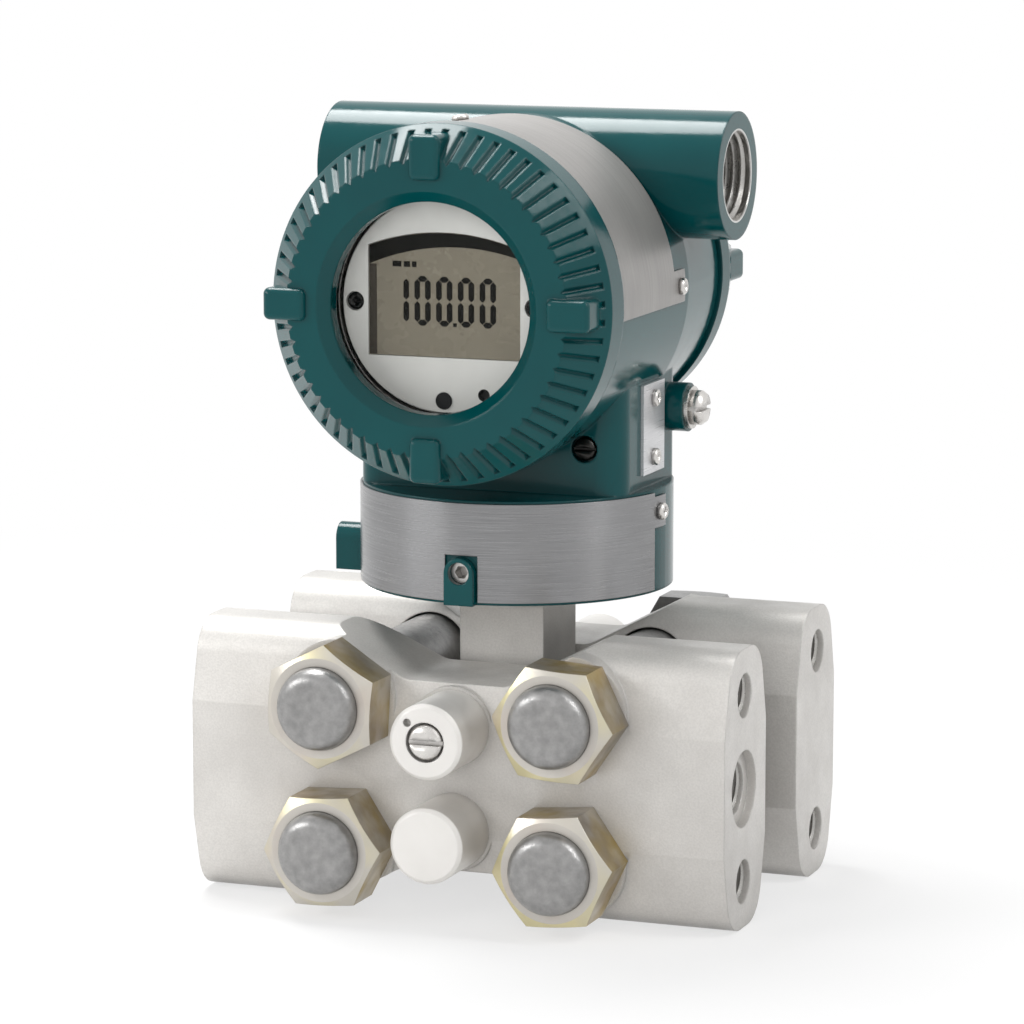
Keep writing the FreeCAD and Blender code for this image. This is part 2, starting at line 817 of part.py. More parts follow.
def capsule_fittings():
    """Diaphragms, gaskets, sensing header, its lead and the neck seal."""
    for label, side, outward in (("high_side", -1, "-y"), ("low_side", 1, "y")):
        floor = ("0", f"{side} * (capsule_face - diaphragm_thickness)", "port_axis")
        keep(f"{label}_diaphragm", turned(f"{label}_diaphragm", [
            ("0", "0"),
            ("diaphragm_radius", "0"),
            ("diaphragm_radius", "diaphragm_thickness"),
            (f"diaphragm_radius * {RIDGE_FEET[0]}", "diaphragm_thickness"),
            (f"diaphragm_radius * {RIDGE_CREST}", "diaphragm_thickness + diaphragm_ridge"),
            (f"diaphragm_radius * {RIDGE_FEET[1]}", "diaphragm_thickness"),
            ("0", "diaphragm_thickness")], floor, outward))
        seat = ("0", f"{side} * capsule_face", "port_axis")
        keep(f"{label}_gasket", turned(f"{label}_gasket", [
            ("gasket_inner", "0"),
            ("gasket_outer", "0"),
            ("gasket_outer", "gasket_thickness"),
            ("gasket_inner", "gasket_thickness")], seat, outward))
    bore_floor = "(neck_top - neck_bore_depth)"
    sensor = primitive("Cylinder", "sensor_element", ("0", "0", bore_floor),
                       Radius="neck_bore_radius - thread_clearance", Height="sensor_height")
    keep("sensor_element", sensor)
    lead_foot = f"({bore_floor} + sensor_height)"
    plug_foot = "(lead_plug_top - lead_plug_length)"
    keep("sensor_lead", turned("sensor_lead", [
        ("0", lead_foot),
        ("lead_radius", lead_foot),
        ("lead_radius", plug_foot),
        ("lead_plug_radius", plug_foot),
        ("lead_plug_radius", "lead_plug_top"),
        ("0", "lead_plug_top")]))
    keep("neck_seal_ring", primitive("Torus", "neck_seal_ring", ("0", "0", "neck_seal_axis"),
                                     Radius1="neck_radius - seal_section / 2", Radius2="seal_section / 2"))


# Head casting

def housing():
    body = new_body("amplifier_housing")
    housing_pedestal(body)
    housing_outside(body)
    housing_inside(body)
    housing_holes(body)
    keep("amplifier_housing", body)


def housing_pedestal(body):
    sketch = sketch_on(body, "pedestal_plan", "XY_Plane")
    sketch.setExpression("AttachmentOffset.Base.z", cell("collar_top"))
    outline(sketch, [("-pedestal_side", "-pedestal_face"), ("pedestal_side", "-pedestal_face"),
                     ("pedestal_side", "pedestal_face"), ("-pedestal_side", "pedestal_face")])
    pad = body.newObject("PartDesign::Pad", "pedestal")
    pad.Profile = sketch
    bind(pad, Length="axis_rise")
    upright = VECTOR(0, 0, 1)
    round_edges(body, "pedestal_corners", "pedestal_corner", lambda edge: runs_along(edge, upright))


def housing_outside(body):
    """Barrel, conduit tube, collar, setscrew bosses and ground boss."""
    boss(body, "barrel", ("0", "-barrel_front", "housing_axis"), "y",
         "barrel_radius", "barrel_front + barrel_taper")
    shape_feature(body, "AdditiveCone", "barrel_back", ("0", "barrel_taper", "housing_axis"), "y",
                  Radius1="barrel_radius", Radius2="barrel_back_radius", Height="barrel_back - barrel_taper")
    boss(body, "conduit_tube", ("-tube_length / 2", "tube_offset", "tube_height"), "x",
         "tube_radius", "tube_length")
    boss(body, "collar", ("0", "0", "collar_bottom"), "z", "collar_radius", "collar_height")
    for name, direction in (("front", "-y"), ("left", "-x")):
        boss(body, f"{name}_boss_crown", ("0", "0", "lock_axis"), direction,
             "lock_boss_radius", f"{name}_boss_reach")
    shape_feature(body, "AdditiveBox", "front_boss_foot",
                  ("-lock_boss_radius", "-front_boss_reach", "collar_bottom"),
                  Length="2 * lock_boss_radius", Width="front_boss_reach", Height="lock_height")
    shape_feature(body, "AdditiveBox", "left_boss_foot",
                  ("-left_boss_reach", "-lock_boss_radius", "collar_bottom"),
                  Length="left_boss_reach", Width="2 * lock_boss_radius", Height="lock_height")
    boss(body, "ground_boss",
         ("ground_across - ground_boss_length", "ground_offset", "ground_height"), "x",
         "ground_boss_radius", "ground_boss_length")


def housing_inside(body):
    """Two chambers with a wall between them, the neck bore, the cable way and the conduit passage."""
    chambers = (("display", "-y", "-partition_front", "barrel_front"),
                ("terminal", "y", "partition_back", "barrel_back"))
    for name, outward, floor, mouth in chambers:
        side = 1 if outward == "y" else -1
        foot = floor if side > 0 else "partition_front"
        depth = f"{mouth} - ({floor})"
        bore(body, f"{name}_chamber", ("0", foot, "housing_axis"), outward, "barrel_bore", depth)
        bore(body, f"{name}_thread",
             ("0", f"{side} * ({mouth} - cover_thread_depth)", "housing_axis"), outward,
             "cover_thread_radius", "cover_thread_depth")
    bore(body, "neck_socket", ("0", "0", "collar_bottom"), "z",
         "collar_bore", "collar_ceiling - collar_bottom")
    bore(body, "cable_way", ("0", "-cable_way_offset", "collar_ceiling"), "z",
         "cable_way_radius", "housing_axis - collar_ceiling")
    bore(body, "conduit_passage", ("-tube_length / 2", "tube_offset", "tube_height"), "x",
         "tube_passage_radius", "tube_length")
    for side, direction in ((-1, "-x"), (1, "x")):
        bore(body, "conduit_entry",
             (f"{side} * (tube_length / 2 - entry_depth)", "tube_offset", "tube_height"), direction,
             "entry_radius", "entry_depth")


def housing_holes(body):
    """Holes for setscrews, ground screw, zero screw, pins and the plates' screws."""
    for name, direction in (("front", "-y"), ("left", "-x")):
        bore(body, f"{name}_setscrew_hole", ("0", "0", "lock_axis"), direction,
             "setscrew_radius + thread_clearance", f"{name}_boss_reach")
    bore(body, "ground_hole", ("ground_across", "ground_offset", "ground_height"), "-x",
         "ground_shank_radius + thread_clearance", "ground_shank_length")
    bore(body, "zero_recess", ("zero_across", "-pedestal_face", "zero_height"), "y",
         "zero_recess_radius", "zero_recess_depth")
    bore(body, "zero_hole", ("zero_across", "-zero_floor", "zero_height"), "y",
         "zero_shank_radius + swivel_clearance", "zero_shank_length")
    for across in pin_places():
        bore(body, "pin_hole", (across, "partition_front", "pin_axis"), "y",
             "pin_radius + thread_clearance", "partition_thickness")
    for name, at in tag_screw_places():
        small_screw_hole(body, f"{name}_hole", ("pedestal_side", at[1], at[2]), "-x")
    for name, about, angle, along in plate_screw_places():
        hole = bore(body, f"{name}_hole", ("0", "0", "0"), "z",
                    "small_shank_radius + thread_clearance", "2 * plate_screw_length")
        place_on_round(hole, about, angle, f"({about}_radius - plate_screw_length)", along)


def plate_screw_places():
    """Name, carrier, angle and distance along the carrier's axis of each screw in a bent plate."""
    return [
        ("band_screw_right", "collar", "band_screw_right_angle", "band_screw_height"),
        ("band_screw_left", "collar", "band_screw_left_angle", "band_screw_height"),
        ("barrel_screw_tab", "barrel", "barrel_screw_tab_angle", "barrel_screw_tab"),
        ("barrel_screw_top", "barrel", "barrel_screw_top_angle", "-barrel_screw_top_back"),
    ]


def pin_places():
    count = SIZES["pin_count"]
    return [f"({index} - (pin_count - 1) / 2) * pin_pitch" for index in range(count)]


def tag_screw_places():
    low = ("tag_screw_low", ("tag_outside", "0", "tag_bottom + tag_screw_margin"))
    high = ("tag_screw_high", ("tag_outside", "0", "tag_top - tag_screw_margin"))
    return [low, high]


# Fittings on the outside of the head

def setscrews():
    tip = "(neck_radius - lock_groove_depth + swivel_gap)"
    screws = []
    for name, direction, at in (("front", "-y", ("0", f"-{tip}", "lock_axis")),
                                ("left", "-x", (f"-{tip}", "0", "lock_axis"))):
        head = f"({name}_boss_reach - setscrew_inset)"
        shank = primitive("Cylinder", f"{name}_setscrew_shank", at, direction,
                          Radius="setscrew_radius", Height=f"{head} - {tip}")
        floor = f"socket_depth - {head}"
        socket_floor = ("0", floor, "lock_axis") if direction == "-y" else (floor, "0", "lock_axis")
        socket = hexagon(f"{name}_setscrew_socket", "2 * setscrew_socket", "socket_depth", socket_floor,
                         direction)
        screws.append(cut(f"{name}_setscrew", shank, [socket]))
    group("locking_setscrews", screws)


def ground_terminal():
    at = ("ground_across", "ground_offset", "ground_height")
    keep("ground_washer", turned("ground_washer", [
        ("ground_shank_radius + thread_clearance", "0"),
        ("ground_washer_radius", "0"),
        ("ground_washer_radius", "ground_washer_thickness"),
        ("ground_shank_radius + thread_clearance", "ground_washer_thickness")], at, "x"))
    on_washer = ("ground_across + ground_washer_thickness", "ground_offset", "ground_height")
    keep("ground_screw", screw("ground_screw", "ground_head_radius", "ground_head_height",
                               "ground_shank_radius", "ground_shank_length", on_washer, "x"))


def conduit_plug():
    """Flush plug in the unused end of the conduit tube."""
    face = "(tube_length / 2 - conduit_plug_inset)"
    shank = primitive("Cylinder", "conduit_plug_shank", (f"-{face}", "tube_offset", "tube_height"), "x",
                      Radius="entry_radius - thread_clearance", Height="conduit_plug_length")
    socket = hexagon("conduit_plug_socket", "2 * conduit_socket", "conduit_socket_depth",
                     (f"-{face}", "tube_offset", "tube_height"), "x")
    keep("conduit_plug", cut("conduit_plug", shank, [socket]))


def curved_sheet(name, inner, at, direction, start, sweep, length):
    """Thin sheet bent round a cylinder."""
    outside = primitive("Cylinder", f"{name}_outside", at, direction, start,
                        Radius=f"{inner} + plate_thickness", Height=length, Angle=sweep)
    inside = primitive("Cylinder", f"{name}_inside", at, direction, start, Radius=inner, Height=length)
    return cut(name, outside, [inside])


def collar_band():
    """Blank band round the collar, notched for the setscrew bosses, with a tab for its screw."""
    right_end = SIZES["band_right_angle"]
    start = right_end - SIZES["band_sweep_angle"]
    height = "collar_height - 2 * band_edge"
    band = curved_sheet("band_strip", "band_inner", ("0", "0", "collar_bottom + band_edge"), "z", start,
                        "band_sweep_angle", height)
    tab = curved_sheet("band_tab", "band_inner", ("0", "0", "band_tab_bottom"), "z", right_end,
                       "band_tab_angle", "band_tab_height")
    sheet_metal = fuse("band_sheet", [band, tab])
    width = "(2 * lock_boss_radius + 2 * band_notch_gap)"
    notch_height = "lock_height + lock_boss_radius + band_notch_gap"
    front = primitive("Box", "band_front_notch", (f"-{width} / 2", "-front_boss_reach", "collar_bottom"),
                      Length=width, Width="front_boss_reach", Height=notch_height)
    left = primitive("Box", "band_left_notch", ("-left_boss_reach", f"-{width} / 2", "collar_bottom"),
                     Length="left_boss_reach", Width=width, Height=notch_height)
    holes, screws = plate_screws("collar")
    keep("collar_band", cut("collar_band", sheet_metal, [front, left] + holes))
    group("collar_band_screws", screws)


def barrel_plate():
    """Blank plate over the top and right of the barrel, with a tab below the conduit tube."""
    start = SIZES["barrel_plate_angle"]
    front = ("0", "-plate_front", "housing_axis")
    turn = -start - SIZES["barrel_sweep_angle"]
    main = curved_sheet("plate_main", "plate_inner", front, "y", turn, "barrel_sweep_angle",
                        "plate_front - plate_back")
    tab_turn = -start - SIZES["barrel_tab_angle"]
    tab = curved_sheet("plate_tab", "plate_inner", front, "y", tab_turn, "barrel_tab_angle",
                       "plate_front + plate_tab_back")
    holes, screws = plate_screws("barrel")
    keep("barrel_plate", cut("barrel_plate", fuse("barrel_sheet", [main, tab]), holes))
    group("barrel_plate_screws", screws)


def plate_screws(carrier):
    """Clearance holes and screws of the plate bent round the collar or the barrel."""
    holes = []
    screws = []
    for name, about, angle, along in plate_screw_places():
        if about == carrier:
            hole = primitive("Cylinder", f"{name}_clearance", ("0", "0", "0"),
                             Radius="small_shank_radius + thread_clearance", Height="2 * plate_screw_length")
            place_on_round(hole, about, angle, f"({about}_radius - plate_screw_length)", along)
            holes.append(hole)
            fastener = small_screw(name, ("0", "0", "0"), "z", "plate_screw_length")
            seat = f"({about}_radius + plate_clearance + plate_thickness)"
            place_on_round(fastener, about, angle, seat, along)
            screws.append(fastener)
    return holes, screws


def tag_plate():
    """Small blank tag on the right side of the pedestal."""
    blank = primitive("Box", "tag_blank", ("pedestal_side", "-tag_width / 2", "tag_bottom"),
                      Length="tag_thickness", Width="tag_width", Height="tag_top - tag_bottom")
    holes = []
    screws = []
    for name, at in tag_screw_places():
        holes.append(primitive("Cylinder", f"{name}_clearance", at, "-x",
                               Radius="small_shank_radius + thread_clearance", Height="tag_thickness"))
        screws.append(small_screw(name, at, "x"))
    keep("tag_plate", cut("tag_plate", blank, holes))
    group("tag_plate_screws", screws)


def zero_screw():
    at = ("zero_across", "-zero_floor", "zero_height")
    keep("zero_adjust_screw", screw("zero_adjust_screw", "zero_head_radius", "zero_head_height",
                                    "zero_shank_radius", "zero_shank_length", at, "-y"))


# Electronics and indicator

def electronics():
    axis = ("0", "0", "housing_axis")
    case = turned("electronics_case", [
        ("0", "-partition_front"),
        ("case_radius", "-partition_front"),
        ("case_radius", "case_front"),
        ("case_bore", "case_front"),
        ("case_bore", "board_height"),
        ("case_bore - ledge_width", "board_height"),
        ("case_bore - ledge_width", "case_floor - partition_front"),
        ("0", "case_floor - partition_front")], axis, "-y")
    bore(case, "lead_socket", ("0", "-case_radius", "0"), "y",
         "lead_plug_radius + seal_clearance", "2 * case_wall + ledge_width")
    for across in pin_places():
        bore(case, "case_pin_hole", (across, "pin_rise", "-partition_front"), "z",
             "pin_radius + thread_clearance", "case_floor")
    keep("electronics_case", case)
    keep("main_board", primitive("Cylinder", "main_board", ("0", "-board_height", "housing_axis"), "-y",
                                 Radius="case_bore - board_clearance", Height="board_thickness"))


def arched_slab(name, inset, thickness):
    """Slab with an arched top on the floor of the display's recess, drawn in by an inset all round."""
    back = "(lcd_recess - bezel_front)"
    slab = primitive("Box", f"{name}_slab", (f"{inset} - lcd_width / 2", f"{back} - {thickness}",
                                             f"lcd_axis - lcd_height / 2 + {inset}"),
                     Length=f"lcd_width - 2 * {inset}", Width=thickness, Height=f"lcd_height - 2 * {inset}")
    arch = primitive("Cylinder", f"{name}_arch", ("0", back, "lcd_axis + lcd_height / 2 - lcd_arch"), "-y",
                     Radius=f"lcd_arch - {inset}", Height=thickness)
    return common(name, [slab, arch])


def indicator():
    """Round bezel with a recessed display, two screws and the range button."""
    axis = ("0", "0", "housing_axis")
    bezel = turned("indicator_bezel", [
        ("0", "case_front"),
        ("bezel_base_radius", "case_front"),
        ("bezel_base_radius", "bezel_front - bezel_step"),
        ("bezel_radius", "bezel_front - bezel_step"),
        ("bezel_radius", "bezel_front"),
        ("0", "bezel_front")], axis, "-y")
    screw_seat = "(bezel_front - screw_recess_depth)"
    for side in (-1, 1):
        across = f"{side} * indicator_screw_offset"
        bore(bezel, "bezel_screw_recess", (across, "0", screw_seat), "z",
             "small_head_radius + screw_recess_gap", "screw_recess_depth")
        bore(bezel, "bezel_screw_hole", (across, "0", f"{screw_seat} - small_shank_length"), "z",
             "small_shank_radius + thread_clearance", "small_shank_length")
    bore(bezel, "button_guide", ("0", "-button_drop", "bezel_front - button_length - button_travel"), "z",
         "button_radius + button_clearance", "button_length + button_travel")
    bore(bezel, "bezel_dimple", ("dimple_across", "-dimple_drop", "bezel_front - dimple_depth"), "z",
         "dimple_radius", "dimple_depth")
    keep("indicator_bezel", cut("indicator_bezel", bezel, [arched_slab("lcd_seat", "0", "lcd_recess")]))
    keep("lcd_panel", arched_slab("lcd_panel", "board_clearance", "lcd_thickness"))
    screws = [small_screw(f"indicator_screw{index}", (f"{side} * indicator_screw_offset", f"-{screw_seat}",
                                                      "housing_axis"), "-y")
              for index, side in enumerate((-1, 1))]
    group("indicator_screws", screws)
    keep("range_button", primitive("Cylinder", "range_button",
                                   ("0", "-bezel_front + button_length - button_proud", "button_axis"), "-y",
                                   Radius="button_radius", Height="button_length"))


# Wiring terminals

def terminals():
    axis = ("0", "0", "housing_axis")
    block = turned("terminal_block", [
        ("0", "partition_back"),
        ("block_radius", "partition_back"),
        ("block_radius", "block_face"),
        ("0", "block_face")], axis, "y")
    shape_feature(block, "SubtractiveBox", "block_crown_cut",
                  ("-block_radius", "-block_radius", "partition_back"),
                  Length="2 * block_radius", Width="block_radius - block_crown", Height="block_depth")
    places = terminal_places()
    for across in places:
        bore(block, "terminal_hole", (across, "terminal_drop", "block_face - terminal_shank_length"), "z",
             "terminal_shank_radius + thread_clearance", "terminal_shank_length")
    block_screws = []
    for index, side in enumerate((-1, 1)):
        across = f"{side} * block_screw_spacing / 2"
        bore(block, "block_screw_hole",
             (across, "-block_screw_rise", "block_face - small_shank_length"), "z",
             "small_shank_radius + thread_clearance", "small_shank_length")
        on_block = (across, "block_face", "block_screw_axis")
        block_screws.append(small_screw(f"block_screw{index}", on_block, "y"))
    for across in pin_places():
        bore(block, "block_pin_hole", (across, "-pin_rise", "partition_back"), "z",
             "pin_radius + thread_clearance", "pin_grip")
    keep("terminal_block", block)
    group("terminal_block_screws", block_screws)
    terminal_fasteners(places)
    feedthrough_pins()


def terminal_places():
    count = SIZES["terminal_count"]
    return [f"({index} - (terminal_count - 1) / 2) * terminal_pitch" for index in range(count)]


def terminal_fasteners(places):
    """Square clamps and the screws that hold them."""
    clamps = []
    screws = []
    for index, across in enumerate(places):
        blank = primitive("Box", f"clamp{index}_blank",
                          (f"{across} - clamp_width / 2", "block_face", "terminal_axis - clamp_width / 2"),
                          Length="clamp_width", Width="clamp_thickness", Height="clamp_width")
        hole = primitive("Cylinder", f"clamp{index}_hole", (across, "block_face", "terminal_axis"), "y",
                         Radius="terminal_shank_radius + thread_clearance", Height="clamp_thickness")
        clamps.append(cut(f"clamp{index}", blank, [hole]))
        screws.append(screw(f"terminal_screw{index}", "terminal_head_radius", "terminal_head_height",
                            "terminal_shank_radius", "terminal_shank_length",
                            (across, "block_face + clamp_thickness", "terminal_axis"), "y"))
    group("terminal_clamps", clamps)
    group("terminal_screws", screws)


def feedthrough_pins():
    pins = [primitive("Cylinder", f"pin{index}", (across, "partition_front - case_floor", "pin_axis"), "y",
                      Radius="pin_radius", Height="case_floor + partition_thickness + pin_grip")
            for index, across in enumerate(pin_places())]
    group("feedthrough_pins", pins)


# Covers

def cover_skirt(seat, kind):
    """Outline corners of the threaded skirt, seal groove and rim, from the inner end outwards."""
    return [
        ("skirt_radius", f"{seat} - skirt_length"),
        ("skirt_radius", f"{seat} - seal_groove_width"),
        ("seal_floor", f"{seat} - seal_groove_width"),
        ("seal_floor", seat),
        (f"{kind}_rim_radius", seat),
        (f"{kind}_rim_radius", f"{seat} + {kind}_rim_length"),
    ]


def finish_cover(label, blank, seat, front, kind, direction):
    """Cut the grip grooves into a cover's flank, add its lugs and keep it."""
    tools = doc.addObject("Part::Compound", f"{kind}_grooves")
    tools.Links = grip_grooves(seat, front, kind, direction)
    shapes = [cut(f"{kind}_grooved", blank, [tools])]
    for index in range(SIZES["lug_count"]):
        shapes.append(lug(f"{kind}_lug{index}", front, kind, direction, 360.0 * index / SIZES["lug_count"]))
    keep(label, fuse(label, shapes))


def grip_grooves(seat, front, kind, direction):
    """Square bars standing on edge along the flank, one for each groove, half a pitch clear of the lugs."""
    rim = f"{kind}_rim_radius"
    fall = f"({rim} - cover_face_radius)"
    rise = f"({front} - {seat} - {kind}_rim_length)"
    slant = f"sqrt({fall} * {fall} + {rise} * {rise})"
    radius = f"({rim} - (groove_start * {fall} + groove_depth * {rise}) / {slant})"
    height = f"({seat} + {kind}_rim_length + (groove_start * {rise} - groove_depth * {fall}) / {slant})"
    lean = math.degrees(math.atan2(number(fall), number(rise)))
    bars = []
    for index in range(SIZES["groove_count"]):
        spin = 360.0 * (index + 0.5) / SIZES["groove_count"]
        bar = primitive("Box", f"{kind}_groove{index}", ("0", "0", "0"),
                        Length="groove_size", Width="groove_size", Height=slant)
        stand_on_flank(bar, direction, spin, lean, radius, height)
        bars.append(bar)
    return bars


def stand_on_flank(bar, direction, spin, lean, radius, height):
    """Lay a bar's Z edge along the flank at one place round the cover, its diagonal pointing outwards."""
    about = DIRECTIONS[direction].multiply(FreeCAD.Rotation(VECTOR(0, 0, 1), spin))
    tilt = FreeCAD.Rotation(VECTOR(0, 1, 0), -lean).multiply(FreeCAD.Rotation(VECTOR(0, 0, 1), -45))
    bar.Placement = FreeCAD.Placement(VECTOR(), about.multiply(tilt))
    outward = 1 if direction == "y" else -1
    up = f"{-outward} * {radius} * sin({spin})"
    set_base(bar, (f"{radius} * cos({spin})", f"{outward} * {height}", f"housing_axis + {up}"))


def lug(name, front, kind, direction, spin):
    """Rounded grip lug across the face and flank of a cover."""
    body = new_body(name)
    shape_feature(body, "AdditiveBox", f"{name}_block",
                  ("lug_inner", "-lug_width / 2", f"{front} + lug_proud - lug_depth"),
                  Length=f"{kind}_lug_outer - lug_inner", Width="lug_width", Height="lug_depth")
    round_edges(body, f"{name}_rounds", "lug_round", lambda edge: True)
    place(body, ("0", "0", "housing_axis"), direction, spin)
    return body


def cover_seal(label, seat, direction):
    side = "-1" if direction == "-y" else "1"
    at = ("0", f"{side} * ({seat} - seal_groove_width / 2)", "housing_axis")
    keep(label, primitive("Torus", label, at, direction,
                          Radius1="skirt_radius - seal_section / 2", Radius2="seal_section / 2"))


def display_cover():
    axis = ("0", "0", "housing_axis")
    seat = "(barrel_front + cover_gap)"
    glass_seat = "(glass_radius + glass_clearance)"
    blank = turned("display_cover_blank", cover_skirt(seat, "display") + [
        ("cover_face_radius", "cover_front"),
        ("window_bevel_radius", "cover_front"),
        ("window_radius", "cover_front - window_bevel_depth"),
        ("window_radius", "lip_back"),
        (glass_seat, "lip_back"),
        (glass_seat, "retainer_back"),
        ("skirt_bore", "retainer_back"),
        ("skirt_bore", f"{seat} - skirt_length")], axis, "-y")
    finish_cover("display_cover", blank, seat, "cover_front", "display", "-y")
    cover_seal("display_cover_seal", seat, "-y")
    window(axis)


def window(axis):
    """Glass between a gasket and a retaining ring, inside the display cover."""
    keep("window_gasket", turned("window_gasket", [
        ("window_radius + glass_clearance", "glass_front"),
        ("glass_radius", "glass_front"),
        ("glass_radius", "lip_back"),
        ("window_radius + glass_clearance", "lip_back")], axis, "-y"))
    keep("window_glass", primitive("Cylinder", "window_glass", ("0", "-glass_back", "housing_axis"), "-y",
                                   Radius="glass_radius", Height="glass_thickness"))
    keep("window_retainer", turned("window_retainer", [
        ("retainer_radius", "retainer_back"),
        ("glass_radius", "retainer_back"),
        ("glass_radius", "glass_back"),
        ("retainer_radius", "glass_back")], axis, "-y"))


def terminal_cover():
    axis = ("0", "0", "housing_axis")
    seat = "(barrel_back + cover_gap)"
    blank = turned("terminal_cover_blank", cover_skirt(seat, "terminal") + [
        ("cover_face_radius", "cover_back"),
        ("0", "cover_back"),
        ("0", "cover_back - cover_wall"),
        ("cover_face_radius - cover_wall", "cover_back - cover_wall"),
        ("skirt_bore", "cover_back - 2 * cover_wall"),
        ("skirt_bore", f"{seat} - skirt_length")], axis, "y")
    finish_cover("terminal_cover", blank, seat, "cover_back", "terminal", "y")
    cover_seal("terminal_cover_seal", seat, "y")


def check_and_write():
    """Stop on any failed object or bad shape, then write one file a sub-part."""
    doc.recompute()
    for item in doc.Objects:
        if "Invalid" in item.State or "Error" in item.State:
            raise RuntimeError(f"{item.Name} did not build: {item.State}")
    for label, item in pieces.items():
        if item.Shape.isNull() or not item.Shape.isValid() or not item.Shape.Solids:
            raise RuntimeError(f"{label} has no valid solid")
    os.makedirs("parts", exist_ok=True)
    for label, item in pieces.items():
        item.Shape.exportStep(f"parts/{label}.step")
        print(label, len(item.Shape.Solids), round(item.Shape.Volume, 1))


fill_sheet()
flange("high_side_flange", -1, has_port=True)
flange("low_side_flange", 1, has_port=False)
bolts_and_nuts()
vent_and_drain()
capsule()
capsule_fittings()
housing()
setscrews()
ground_terminal()
conduit_plug()
collar_band()
barrel_plate()
tag_plate()
zero_screw()
electronics()
indicator()
terminals()
display_cover()
terminal_cover()
check_and_write()
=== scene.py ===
"""Looks of a gauge pressure transmitter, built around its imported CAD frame."""

import json
import math

import bmesh
import bpy
from mathutils import Matrix, Vector


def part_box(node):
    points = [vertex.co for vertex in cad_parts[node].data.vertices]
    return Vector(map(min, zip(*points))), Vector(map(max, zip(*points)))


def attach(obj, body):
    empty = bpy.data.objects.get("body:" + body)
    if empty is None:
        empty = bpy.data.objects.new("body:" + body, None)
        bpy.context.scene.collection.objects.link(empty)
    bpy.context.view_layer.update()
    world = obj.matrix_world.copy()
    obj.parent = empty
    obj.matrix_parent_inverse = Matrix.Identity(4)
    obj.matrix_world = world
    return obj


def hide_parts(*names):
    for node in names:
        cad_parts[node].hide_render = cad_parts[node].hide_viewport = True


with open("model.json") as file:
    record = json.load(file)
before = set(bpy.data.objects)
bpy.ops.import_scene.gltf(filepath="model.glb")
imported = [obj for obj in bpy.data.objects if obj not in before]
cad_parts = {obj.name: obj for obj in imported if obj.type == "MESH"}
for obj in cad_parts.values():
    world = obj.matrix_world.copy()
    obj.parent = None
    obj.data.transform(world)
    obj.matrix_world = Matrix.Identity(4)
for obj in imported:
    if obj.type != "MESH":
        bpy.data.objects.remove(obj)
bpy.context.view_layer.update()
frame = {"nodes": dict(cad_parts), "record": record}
NODES = frame["nodes"]
RECORD = frame["record"]
MOUNTS = {mount["name"]: mount for mount in RECORD["mounts"]}
SLOTS = {item["node"]: item["material_slot"] for item in RECORD["subparts"]}
BODIES = {node: body for body, nodes in RECORD["behaviour"]["bodies"].items() for node in nodes}
MM = 0.001

# Places shared with the CAD frame, in millimetres
HOUSING_AXIS = 136.0
TUBE_OFFSET = 11.5
TUBE_HEIGHT = 160.5
ENTRY_RADIUS = 10.0
ENTRY_FLOOR = 30.5
DIMPLE_ACROSS = 9.2
DIMPLE_HEIGHT = 116.8
DIMPLE_RADIUS = 1.35

# Camera fitted to the photograph: degrees, millimetres, and pixels of a 1024-pixel frame
VIEW_AZIMUTH = 20.75
VIEW_ELEVATION = 9.3
VIEW_DISTANCE = 1000.0
VIEW_TARGET = (-1.5, 0.0, 84.0)
FOCAL_PIXELS = 4433.0
FRAME_PIXELS = 1024.0
SENSOR_WIDTH = 36.0


# Material helpers: scales are in cells a metre, depths, reaches and roundings in metres

QUARTER_TURN = 0.25


def node_of(tree, kind):
    """The first node of a kind in a node tree."""
    return next(node for node in tree.nodes if node.type == kind)


def darker(colour, share):
    """A colour brought down to a share of its brightness."""
    return tuple(channel * share for channel in colour)


